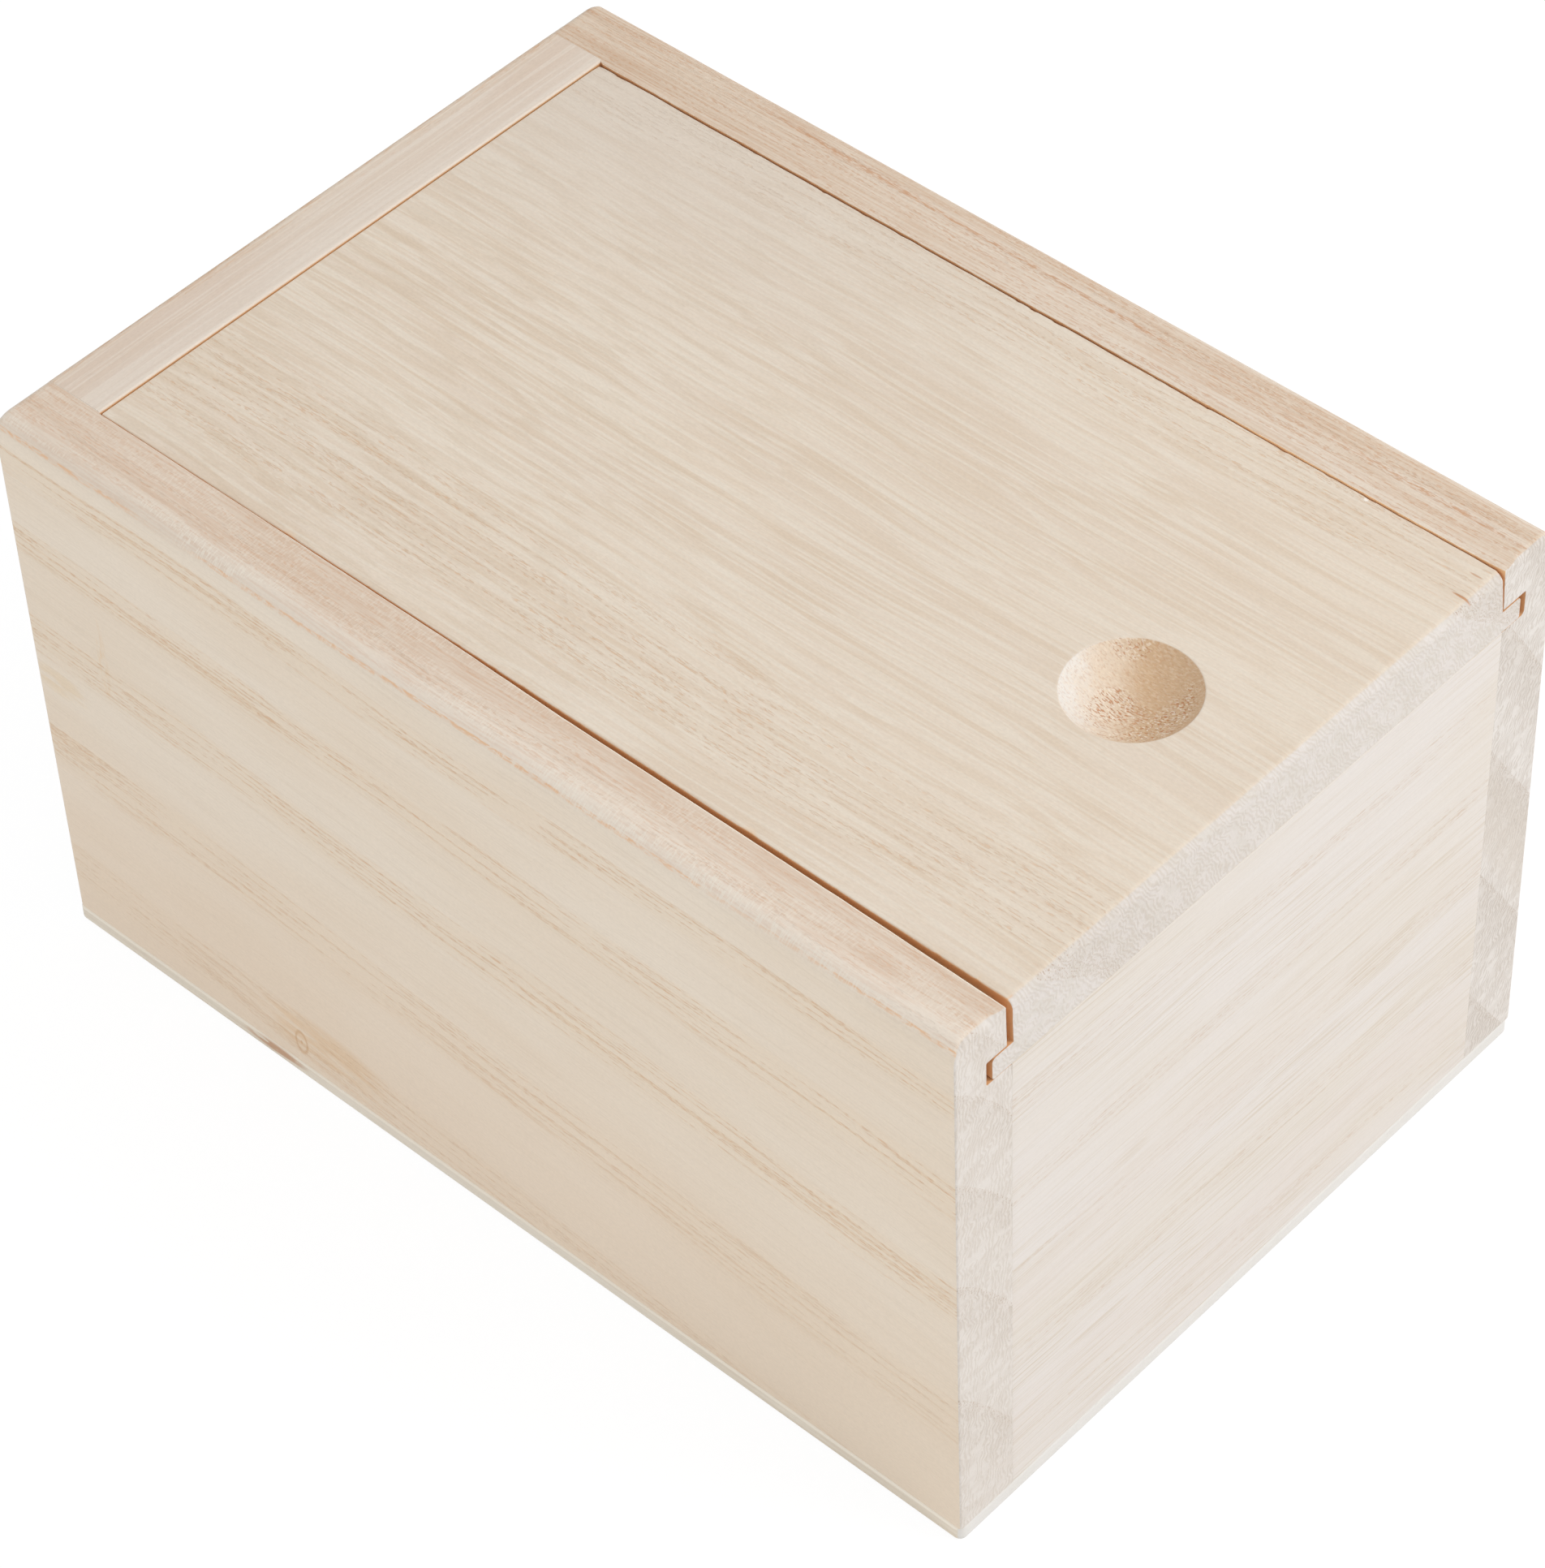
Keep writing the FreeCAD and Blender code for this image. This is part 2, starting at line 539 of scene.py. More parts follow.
def ripple(u, v, seed):
    """Smooth noise from -1 to 1: random values at whole u and v, blended by 3 f^2 - 2 f^3."""
    table = np.random.default_rng(seed).uniform(-1, 1, (TABLE, TABLE))
    u, v = np.broadcast_arrays(u, v)
    column, row = np.floor(u).astype(int), np.floor(v).astype(int)
    across, up = rise(u - column, 0, 1), rise(v - row, 0, 1)

    def level(row):
        """The noise at a whole v, blended between the whole u on either side."""
        first, second = table[column % TABLE, row % TABLE], table[(column + 1) % TABLE, row % TABLE]
        return first * (1 - across) + second * across

    return level(row) * (1 - up) + level(row + 1) * up


sample = ripple(np.linspace(0, 60, 600), 0.0, 1)
print("a ripple runs from %.2f to %.2f" % (sample.min(), sample.max()))

# %% [markdown]
# ## Side boards
#
# A side board is 10.7 mm thick. Its outer top edge is sanded to a full round, and a groove for the
# lid's tongue runs under its inner top edge. The lip above the left groove was eased by hand, and
# more so towards the front, which is why the gap beside the lid opens there like a wedge. One outline
# for the whole board couldn't do that. So the outline is worked out at a few places along the board,
# and the ones between are blended from their neighbours.

# %% Side boards' outlines
RIM_RADIUS = 3.2
SIDES = {
    # lips: the lip's top edge, its lower edge and its top edge's radius at places along the board.
    # heel: radius of the groove's lower corner. ease: easing of the rim's front end
    "left": {
        "sign": -1, "heel": 0.18, "ease": 1.3, "seed": 11, "ragged": 0.3,
        "lips": [(BACK_X, 49.8, 49.8, 0.08), (-77.2, 49.8, 49.8, 0.08), (-76.4, 49.98, 50.0, 0.1),
                 (-45, 50.02, 50.0, 0.1), (-10, 50.14, 50.1, 0.2), (12, 50.5, 50.4, 0.35),
                 (60, 50.6, 50.5, 0.4), (FRONT_X, 50.9, 50.7, 0.4)],
    },
    "right": {
        "sign": 1, "heel": 0.7, "ease": 1.0, "seed": 12, "ragged": 1.0,
        "lips": [(BACK_X, 49.8, 49.8, 0.08), (-77.2, 49.8, 49.8, 0.08), (-76.4, 49.2, 49.85, 0.1),
                 (20, 49.14, 49.85, 0.1), (50, 49.06, 49.8, 0.1), (80, 49.06, 49.75, 0.1),
                 (FRONT_X, 49.3, 49.72, 0.25)],
    },
}


def side_outline(lip_top, lip_foot, lip_radius, heel):
    """A side board's outline seen from the front, for the right-hand side."""
    corners = [
        (INNER_Y, FOOT_Z, CRISP), (OUTER_Y, FOOT_Z, 0.2), (OUTER_Y, TOP_Z, RIM_RADIUS),
        (lip_top, TOP_Z, lip_radius), (lip_foot, GROOVE_TOP, CRISP), (GROOVE_Y, GROOVE_TOP, CRISP),
        (GROOVE_Y, GROOVE_FLOOR, heel), (INNER_Y, GROOVE_FLOOR, CRISP),
    ]
    # Every outline of a stack needs as many points, so the sides that change length have set counts
    top_step, roof_step = (OUTER_Y - lip_top) / 9, (GROOVE_Y - lip_foot) / 4
    return rounded_outline(corners, [3.0, 4.0, top_step, 1.5, roof_step, 1.2, 1.2, 4.0])


def side_outlines(facts, stations):
    """The outline's points at each station, evenly between its neighbours in the table of lips."""
    places = [lip[0] for lip in facts["lips"]]
    outlines = [side_outline(*lip[1:], facts["heel"]) for lip in facts["lips"]]
    reached = np.interp(stations, places, np.arange(len(places)))
    before = np.minimum(reached.astype(int), len(places) - 2)
    share = (reached - before)[:, None, None]
    every = np.stack([points for points, _ in outlines])
    return every[before] * (1 - share) + every[before + 1] * share, outlines[0][1]


print("points in a side board's outline:", len(side_outline(INNER_Y, INNER_Y, CRISP, CRISP)[0]))

# %% [markdown]
# The ends of a side board differ. At the front the rim was sanded round, and the rest only lost its
# burr. At the back all outer edges are round, and next to the back board the top has to fall away as
# the back board's does. Where a board is glued to another both were sanded level, so nearly nothing
# is eased. Last, the lip gets the ripples that the saw left, and the rim those of the sander.

# %% Side boards
BACK_RADIUS = 1.4    # of the outer edges at the back
FOOT_EASE = 0.35     # of the outer edge's front end at the foot
SIDE_STEP = 0.6


def rim_masks(out, up, normals):
    """1 where the outline faces up on the lip and the rim, and 1 where it faces out on the wall."""
    upward = rise(normals[:, 1], 0.3, 0.9) * rise(up, GROOVE_TOP + 1, GROOVE_TOP + 2)
    outward = rise(normals[:, 0], 0.3, 0.9) * rise(out, OUTER_Y - 1, OUTER_Y - 0.3)
    return upward, outward


def lip_wear(heights, facts):
    """How far the saw left the lip's faces out of line: a coarse and a fine ripple, less their depth."""
    seed = facts["seed"]
    coarse = 0.045 * ripple(heights / 2.3, 0 * heights, seed)
    fine = 0.03 * ripple(heights / 0.9, 0 * heights, seed + 1)
    return (coarse + fine) * facts["ragged"] - 0.03 * facts["ragged"]


def side_board(side, facts):
    """One side board. out is the distance from the box's middle."""
    stations = np.linspace(BACK_X, FRONT_X, round((FRONT_X - BACK_X) / SIDE_STEP))
    points, normals = side_outlines(facts, stations)
    normals = np.repeat(normals[None], len(stations), axis=0)
    out, up = points[0, :, 0], points[0, :, 1]
    upward, outward = rim_masks(out, up, normals[0])
    rim = upward * rise(out, INNER_Y + 1.0, INNER_Y + 3.0)
    glued = rise(out, INNER_Y + 1, INNER_Y + 0.3) * rise(up, GROOVE_FLOOR - 0.3, GROOVE_FLOOR - 1)
    edge = SHARP - (SHARP - FLUSH) * glued
    ease_front = edge + np.maximum((facts["ease"] - SHARP) * rim, 0.25 * outward)
    # Near the lip the back end's rounding only goes down, level with the back board's
    share_up = np.clip((up - GROOVE_TOP) / (TOP_Z - GROOVE_TOP), 0, 1)
    falls = rise(out, INNER_Y + 2.5, INNER_Y + 1.5) * share_up
    ease_back = FLUSH + (BACK_RADIUS - FLUSH) * np.maximum(np.maximum(upward, outward), falls)
    normals[0, falls > 0] = (0, 1)
    # At the foot both ends are rounded sideways only, because the bottom board lies under them
    foot_edge = (out > OUTER_Y - 0.5) & (up < FOOT_Z + 0.5)
    ease_back[foot_edge] = BACK_RADIUS
    ease_front[foot_edge] = FOOT_EASE
    normals[0, foot_edge] = normals[-1, foot_edge] = (1, 0)
    rows, heights, normals = stack_rows(points, normals, stations, ease_back, ease_front)
    lip = rise(out, INNER_Y + 1.5, INNER_Y + 0.4) * rise(up, GROOVE_FLOOR - 0.5, GROOVE_FLOOR)
    lip = lip * (heights > back_high[0])
    sanded = 0.03 * ripple(heights / 9, 0 * heights, facts["seed"] + 2) - 0.035
    rows = rows + normals * (lip_wear(heights, facts) * lip + sanded * rim)[..., None]
    rows[..., 1] = np.minimum(rows[..., 1], TOP_Z)
    grid = np.stack([heights, facts["sign"] * rows[..., 0], rows[..., 1]], axis=-1)
    make_piece(side + "_side_board", *closed_stack(grid), "box", side + "_side", "side_board")


for side, facts in SIDES.items():
    side_board(side, facts)

# %% [markdown]
# ## Back and front boards
#
# The back and front boards run across, between the sides. The back board's outer top edge is eased
# like the rim, and its inner top edge, which the lid closes against, only a little. The front board
# ends level with the grooves' floors, so that the lid slides over it. Both are plain stacks, so one
# function makes them.

# %% Back and front boards
def cross_board(name, node, corners, steps):
    """A board whose grain runs across the box, from its outline seen from the right-hand side."""
    stations = np.linspace(-INNER_Y, INNER_Y, 100)
    rows, heights, _ = even_rows(rounded_outline(corners, steps), stations, FLUSH, FLUSH)
    grid = np.stack([rows[..., 0], heights, rows[..., 1]], axis=-1)
    make_piece(name, *closed_stack(grid), "box", node, "end_board")


cross_board(
    "back_board", "back_panel",
    [(BACK_X, FOOT_Z, 0.2), (back_high[0], FOOT_Z, CRISP),
     (back_high[0], TOP_Z, 0.4), (BACK_X, TOP_Z, BACK_RADIUS)],
    [2.0, 4.0, 1.5, 4.0],
)
cross_board(
    "front_board", "front_panel",
    [(front_low[0], FOOT_Z, CRISP), (FRONT_X, FOOT_Z, 0.2),
     (FRONT_X, GROOVE_FLOOR, CRISP), (front_low[0], GROOVE_FLOOR, 0.5)],
    [2.0, 4.0, 2.0, 4.0],
)

# %% [markdown]
# ## Bottom board
#
# The bottom board is thin and lies under the walls, flush with their outside. Its upper edge is
# softly rounded and catches the light as a pale line round the foot of the box, which a painted
# highlight makes paler along its long sides. It is a stack too, but an upright one: the outline is its
# plan, so its corners and its edges can have their own radii.

# %% Bottom board
BOTTOM_CORNER = 1.2
BOTTOM_EASE = (0.7, 0.5)    # foot and upper edge


def bottom_board():
    """The bottom board: its plan, a rectangle with round corners, stacked upwards.

    The foot and the upper edge are quarter rounds of their own radii.
    """
    corners = [(BACK_X, -OUTER_Y), (FRONT_X, -OUTER_Y), (FRONT_X, OUTER_Y), (BACK_X, OUTER_Y)]
    plan = rounded_outline([(*corner, BOTTOM_CORNER) for corner in corners], [2.0] * 4)
    rows, heights, _ = even_rows(plan, np.linspace(0, FOOT_Z, 4), *BOTTOM_EASE)
    grid = np.concatenate([rows, heights[..., None]], axis=-1)
    make_piece("bottom_board", *closed_stack(grid), "box", "bottom_panel", "bottom_board")


bottom_board()

# %% [markdown]
# ## Lid
#
# The lid is a thick board with a rebate along each long top edge, so that a tongue is left below.
# The rebates were cut with the saw a little off square: the left edge leans out and the right edge
# leans in. Its outline has two points more than it needs, so that a square hole for the finger dish
# can be left in the stack's top.

# %% Lid's outline
DISH_FROM_FRONT = 23.4
DISH_X = FRONT_X - DISH_FROM_FRONT
DISH_Y = 1.0
PATCH_HALF = 12.0               # half the side of the dish's patch
PATCH_STEP = 0.5
LID_TOP = lid_high[2]
TONGUE_TOP = GROOVE_TOP - 0.3
LEFT_EDGE = (-49.75, -49.5)     # top and foot of the rebate's upright face
RIGHT_EDGE = (48.95, 49.6)


def lid_outline():
    """The lid's outline seen from the front. Two extra points mark the sides of the dish's patch."""
    tongue_y = lid_high[1]
    corners = [
        (-tongue_y, lid_low[2], 0.45), (tongue_y, lid_low[2], 0.4), (tongue_y, TONGUE_TOP, 0.6),
        (RIGHT_EDGE[1], TONGUE_TOP, 0.15), (RIGHT_EDGE[0], LID_TOP, 0.15),
        (DISH_Y + PATCH_HALF, LID_TOP, 0), (DISH_Y - PATCH_HALF, LID_TOP, 0),
        (LEFT_EDGE[0], LID_TOP, 0.3), (LEFT_EDGE[1], TONGUE_TOP, 0.15), (-tongue_y, TONGUE_TOP, 0.7),
    ]
    return rounded_outline(corners, [4.0, 1.3, 1.3, 1.3, 1.5, PATCH_STEP, 1.5, 1.3, 1.3, 1.3])


print("points in the lid's outline:", len(lid_outline()[0]))

# %% [markdown]
# A ball-nosed cutter sank the finger dish, so it is a cap of a ball, and it left torn fibres on one
# side. Cutting the lid with a sphere by a Boolean would leave long thin faces and no room for those
# fibres. Here the dish is its own patch of rings, because rings follow its round rim, and the patch's
# outer edge has the same points as the hole left for it.

# %% Finger dish
DISH_RADIUS = 9.6
DISH_DEPTH = 4.0
DISH_EASE = 0.10
BALL_RADIUS = (DISH_RADIUS ** 2 + DISH_DEPTH ** 2) / (2 * DISH_DEPTH)
DISH_SEED = 32


def dish_depth(radius):
    """Depth under the lid's top at a distance from the dish's centre.

    The ball's depth is sqrt(R^2 - r^2) - (R - depth). The depth is the larger of that and nothing,
    with the corner between them eased: half of d + sqrt(d^2 + e^2).
    """
    reach = np.minimum(radius, 0.95 * BALL_RADIUS)
    ball = np.sqrt(BALL_RADIUS ** 2 - reach ** 2) - (BALL_RADIUS - DISH_DEPTH)
    return (ball + np.sqrt(ball ** 2 + DISH_EASE ** 2)) / 2


def dish_patch():
    """Points and faces of the square patch round the dish, as rings about a middle point."""
    side = np.arange(-PATCH_HALF, PATCH_HALF, PATCH_STEP)
    edge = np.full(len(side), PATCH_HALF)
    loop = np.concatenate([
        np.stack([side, -edge], axis=1), np.stack([edge, side], axis=1),
        np.stack([-side, edge], axis=1), np.stack([-edge, -side], axis=1),
    ])
    reach = np.linalg.norm(loop, axis=1)
    spokes = loop / reach[:, None]
    near_rim = DISH_RADIUS + np.array([-0.3, -0.2, -0.12, -0.06, 0, 0.06, 0.12, 0.2, 0.35])
    inner = np.concatenate([np.linspace(0.25, DISH_RADIUS - 0.45, 50), near_rim])
    outer_share = np.linspace(0, 1, 7)[1:]
    radii = np.concatenate([
        np.repeat(inner[:, None], len(loop), axis=1),
        inner[-1] + outer_share[:, None] * (reach - inner[-1]),
    ])
    flat = radii[..., None] * spokes
    depth = dish_depth(radii) * rise(radii, DISH_RADIUS + 0.8, DISH_RADIUS + 0.35)
    angle = np.arctan2(spokes[:, 1], spokes[:, 0])[None]
    # The cutter tore the fibres where it ran against them, towards the front and left
    torn = rise(np.cos(angle + 0.75), 0.05, 0.9) * rise(radii, 4.2, 6.5) * rise(radii, 9.55, 9.0)
    swirl = ripple(angle / (2 * math.pi) * TABLE, radii / 0.55, DISH_SEED)
    fine = ripple(flat[..., 0] / 0.5, flat[..., 1] / 0.32, DISH_SEED + 1)
    depth = depth + torn * (0.10 * swirl + 0.08 * np.abs(fine)) + 0.012 * fine * (depth > 0.2)
    points = np.stack([DISH_X + flat[..., 0], DISH_Y + flat[..., 1], LID_TOP - depth], axis=-1)
    rings, columns = radii.shape
    middle = [[DISH_X, DISH_Y, LID_TOP - dish_depth(0.0)]]
    faces = stack_faces(rings, columns)
    fan = np.stack([np.arange(columns), (np.arange(columns) + 1) % columns], axis=1)
    fan = np.concatenate([np.full((columns, 1), rings * columns), fan], axis=1)
    return np.concatenate([points.reshape(-1, 3), middle]), faces.tolist() + fan.tolist()


print("the dish is a cap of a ball of radius %.1f mm" % BALL_RADIUS)

# %% [markdown]
# The lid's stack has rows at each half millimetre beside the dish, to meet the patch, and close rows
# at the front, where sanding rounded the top edge. The quads over the dish are left out, and the
# patch takes their place. The saw left a wave and small chips along both top edges.

# %% Lid
LID_NOSE = 1.35    # radius of the front top edge
LID_SEED = 31


def worn_front(rows, heights):
    """The rows and heights with the front top edge sanded round.

    The last rows turn through a right angle t there: they stand at wear (1 - sin t) behind the front
    face, lower by wear (1 - cos t), and not on the tongues.
    """
    wear = LID_NOSE + 0.12 * ripple(rows[..., 0] / 9, 0 * rows[..., 0], LID_SEED + 7)
    angle = np.clip((heights - (FRONT_X - LID_NOSE)) / LID_NOSE, 0, 1) * math.pi / 2
    above = np.clip((rows[..., 1] - TONGUE_TOP) / (LID_TOP - TONGUE_TOP), 0, 1) * (angle > 0)
    heights = heights * (1 - above) + (FRONT_X - wear * (1 - np.sin(angle))) * above
    up = rows[..., 1] - wear * (1 - np.cos(angle)) * above
    return np.stack([rows[..., 0], up], axis=-1), heights


def saw_marks(right, up, heights):
    """How far the wave and the chips move the points near the lid's top edges along their normals."""
    edge = rise(np.abs(right), 48.0, 48.6) * rise(up, LID_TOP - 3, LID_TOP - 0.4)
    side = np.sign(right) + 0 * heights
    wave = np.where(right > 0, 0.04, 0.03) * ripple(heights / 4.1, side * 3.0, LID_SEED)
    chips = np.clip(ripple(heights / 1.3, side * 5.0, LID_SEED + 5) - 0.35, 0, 1)
    return (wave - chips * np.where(right > 0, 0.20, 0.16)) * edge


def lid_board():
    """The sliding lid: its stack without the quads over the dish, and the dish's patch."""
    outline = lid_outline()
    back_x = lid_low[0] + 0.05
    low, high = DISH_X - PATCH_HALF, DISH_X + PATCH_HALF
    patch_stations = np.arange(low, high + PATCH_STEP / 2, PATCH_STEP)
    nose = FRONT_X - LID_NOSE + LID_NOSE * np.arange(0, 0.96, 0.1)
    stations = np.concatenate([
        np.linspace(back_x, low, round((low - back_x) / SIDE_STEP))[:-1], patch_stations,
        np.linspace(high, nose[0], round((nose[0] - high) / SIDE_STEP))[1:-1], nose, [FRONT_X],
    ])
    rows, heights, normals = even_rows(outline, stations, SHARP, 0.6 * SHARP)
    rows, heights = worn_front(rows, heights)
    rows = rows + normals * saw_marks(*outline[0].T, heights)[..., None]
    grid = np.stack([heights, rows[..., 0], rows[..., 1]], axis=-1)
    points = grid.reshape(-1, 3)
    quads = stack_faces(*grid.shape[:2])
    centres = points[quads].mean(axis=1)
    hole = (np.abs(centres[:, :2] - (DISH_X, DISH_Y)) < PATCH_HALF).all(axis=1)
    quads = quads[~(hole & (centres[:, 2] > LID_TOP - 0.01))]
    patch_points, patch_faces = dish_patch()
    faces = quads.tolist() + end_caps(*grid.shape[:2])
    faces += [[index + len(points) for index in face] for face in patch_faces]
    make_piece("lid_board", np.concatenate([points, patch_points]), faces, "lid", "lid", "lid_board")


lid_board()

# %% [markdown]
# ## Wood
#
# The wood of every board is solid through and through: its colour depends on the place in the board
# alone, and a face shows whatever lies there. Along the grain every noise is stretched many times, so
# that on a long face it draws streaks and dashes, and on an end face the same noise shows as dots. An
# image of wood wrapped round the board would break at each edge.

# %% Coordinates and noises of a plank
class Plank:
    """The wires that a board's finish is drawn with: coordinates in millimetres, and noises."""

    def __init__(self, place, grain, seed, flow, bend):
        self.place = place
        self.seed = seed
        self.x, self.y, self.z = [
            place.add("ShaderNodeSeparateXYZ", {}, {0: place}, output=axis) for axis in "XYZ"
        ]
        self.along, across = (self.x, self.y) if grain == "X" else (self.y, self.x)
        across, up = flow(self.along, across, self.z)
        self.across, self.up = across, up
        self.across = across + (self.noise(60, 22, 0.3) - 0.5) * bend
        self.up = up + (self.noise(45, 18, 7.7) - 0.5) * bend
        self.facing = place.add("ShaderNodeTexCoord", {}, {}, output="Normal")

    def noise(self, long, wide, offset, detail=1.0, tall=None, lean=0.0):
        """Noise about 0.5 whose cells are long and wide in millimetres, and tall if not as wide.

        The offset moves it along, so that no two noises are the same. A lean turns the cells about
        the grain: new across = across cos + up sin, and so on.
        """
        across, up = self.across, self.up
        if lean:
            across, up = (across * math.cos(lean) + up * math.sin(lean),
                          up * math.cos(lean) - across * math.sin(lean))
        cells = {0: self.along / long + (self.seed + offset), 1: across / wide, 2: up / (tall or wide)}
        vector = self.place.add("ShaderNodeCombineXYZ", {}, cells)
        sockets = {"Vector": vector, "Scale": 1.0, "Detail": detail, "Roughness": 0.5}
        return self.place.add("ShaderNodeTexNoise", {}, sockets)

    def normal(self, axis):
        """How far the surface faces along an axis, from -1 to 1."""
        return self.place.add("ShaderNodeSeparateXYZ", {}, {0: self.facing}, output=axis)

    def spot(self, x, y, z, reach):
        """1 at a place and 0 outside an oval round it. Places and reaches are in millimetres."""
        first, second, third = (self.x - x) / reach[0], (self.y - y) / reach[1], (self.z - z) / reach[2]
        return (first * first + second * second + third * third).step(1.0, 0.1)


def straight(along, across, up):
    """The flow of a board whose fibres run straight."""
    return across, up


print("planks ready")

# %% [markdown]
# Faces along the fibres show clouds, streaks and thin lines. The rings are a count that each board
# gives for itself: just above each whole number lies a band of open pores, and between the bands the
# wood is smooth and pale. A few pores stray outside the bands.

# %% Faces along the fibres
def long_grain(plank, band, palette, amount):
    """The colour of the faces along the fibres, with its streaks, lines and pores."""
    noise = plank.noise
    clouds = noise(70, 17, 3.1, 2.0)
    streak = noise(amount["streak_long"], amount["streak_wide"], 9.2, 2.5)
    line = noise(42, 0.50, 15.4, 1.0)
    thread = noise(24, 0.30, 11.9, 1.0)
    row = noise(55, 0.50, 21.4, 1.5)
    dash = noise(1.3, 0.15, 24.6, 1.0)

    zone = band * (1 - amount["stray"]) + amount["stray"]
    pores = dash.step(0.53, 0.62) * row.step(0.50, 0.58) * zone
    colour = clouds.step(0.40, 0.62).mix(palette["base"], palette["cloud"])
    lens = noise(amount["lens_long"], amount["lens_wide"], 6.3, 3.0)
    figure = (streak + (clouds - 0.5) * 0.25).step(0.46, 0.58) * 0.6 + lens.step(0.50, 0.60) * 0.4
    colour = (figure * amount["streak"]).mix(colour, palette["streak"])
    colour = (line.step(0.46, 0.62) * amount["line"]).mix(colour, palette["light"])
    colour = (thread.step(0.54, 0.66) * amount["thread"]).mix(colour, palette["thread"])
    colour = (band * amount["halo"]).mix(colour, palette["halo"])
    colour = (row.step(0.54, 0.62) * band * amount["rows"]).mix(colour, palette["row"])
    colour = (pores * amount["pores"]).mix(colour, palette["pore"])
    return colour, streak, line, pores


print("long grain ready")

# %% [markdown]
# Sawn ends are greyer, because the fibres swallow the light there. Rays cross the rings as fine wavy
# ridges, and the pores are seen from above as dots at the start of each ring.

# %% Sawn ends
def end_grain(plank, ring, palette, amount):
    """The colour of the sawn ends, with the ridges of its rays.

    The rays are a sine across the fibres, bent by noises. Pores lie at the start of each ring.
    """
    noise, lean = plank.noise, amount["ray_lean"]
    phase = (plank.across * math.cos(lean) - plank.up * math.sin(lean)) / 0.70
    phase = phase + noise(9, 1.5, 27.0) * 2.6 + noise(9, 5.0, 30.2) * 3.0
    wave = phase.maths("SINE", phase * (2 * math.pi)) * 0.5 + 0.5
    ridge = wave * noise(9, 2.2, 31.9).step(0.28, 0.48)
    shade = noise(30, 5.0, 33.1, 1.0, tall=2.0, lean=lean)
    dots = noise(1.5, 0.24, 36.7, 1.0)
    late = ring.step(0.40 + amount["band"], 0.02)
    colour = shade.step(0.42, 0.62).mix(palette["end"], palette["end_shade"])
    colour = (late * amount["end_late"]).mix(colour, palette["end_late"])
    rays = ridge.step(0.2, 0.9) * amount["rays"] * (0.7 + 0.3 * late)
    colour = rays.mix(colour, palette["end_ray"])
    pores = dots.step(0.60, 0.68) * (ring.step(0.14, 0.0) * 0.9 + 0.06)
    return (pores * amount["end_pores"]).mix(colour, palette["end_pore"]), ridge


print("end grain ready")

# %% [markdown]
# One function puts a board's finish together: it mixes the two colours by the way that the surface
# faces, adds what one board alone has, and ends in a fine grit, a shallow relief and a dull sheen.
# Every board starts from the same strengths and colours, and changes only its own.

# %% A board's finish
BUMP_DEPTH = 0.05 * MM
GLOSS = 0.35
AMOUNTS = {
    "bend": 1.6, "streak_long": 16.0, "streak_wide": 2.0, "lens_long": 50.0, "lens_wide": 1.3,
    "streak": 0.5, "line": 0.5, "thread": 0.2, "band": 0.28, "stray": 0.08, "halo": 0.3, "rows": 0.25,
    "pores": 0.6, "ray_lean": 0.15, "end_late": 0.25, "rays": 0.6, "end_pores": 0.6, "grit": 0.13,
    "bump": 0.6,
}
WOOD = {
    "base": paint(226, 213, 196), "cloud": paint(221, 206, 187), "streak": paint(213, 196, 176),
    "light": paint(233, 223, 208), "thread": paint(208, 190, 168), "halo": paint(219, 200, 174),
    "row": paint(210, 178, 142), "pore": paint(202, 150, 104),
    "end": paint(218, 210, 202), "end_shade": paint(213, 204, 195), "end_late": paint(207, 195, 183),
    "end_ray": paint(198, 186, 173), "end_pore": paint(158, 118, 84),
}


def wood(name, grain, seed, flow, rings, palette, amount, details):
    """A finish of solid wood.

    grain is the axis along the fibres. flow turns (along, across, up) into the two coordinates
    across the fibres, and rings turns those into a count of growth rings. palette names the colours,
    amount the strengths, and details adds what one board alone has.
    """
    material, place = new_finish(name)
    plank = Plank(place, grain, seed, flow, amount["bend"])
    count = rings(plank)
    ring = count.maths("FRACT", count)
    band = ring.step(0.0, 0.05) * ring.step(amount["band"] * 1.3, amount["band"] * 0.8)
    colour, streak, line, pores = long_grain(plank, band, palette, amount)
    end_colour, ridge = end_grain(plank, ring, palette, amount)
    end = abs(plank.normal(grain)).step(0.3, 0.6)
    colour = end.mix(colour, end_colour)
    grit = plank.noise(0.6, 0.30, 18.6, 1.0)
    relief = line * 0.3 + grit * 0.35 - pores * 1.2 + ridge * end * 0.7
    colour, relief = details(plank, colour, relief, end)

    tone = 1 + (grit - 0.5) * amount["grit"]
    grey = place.add("ShaderNodeCombineXYZ", {}, {0: tone, 1: tone, 2: tone})
    colour = place.add("ShaderNodeVectorMath", {"operation": "MULTIPLY"}, {0: colour, 1: grey})
    sockets = {"Strength": amount["bump"], "Distance": BUMP_DEPTH, "Height": relief}
    bump = place.add("ShaderNodeBump", {}, sockets)
    roughness = 0.60 + (streak - 0.5) * 0.2 + pores * 0.1
    sockets = {"Base Color": colour, "Roughness": roughness, "Normal": bump, "Specular IOR Level": GLOSS}
    place.add("ShaderNodeBsdfPrincipled", {}, sockets).to_output("ShaderNodeOutputMaterial")
    print("%s: %d shader nodes" % (name, len(place.tree.nodes)))
    return material


print("strengths:", AMOUNTS)
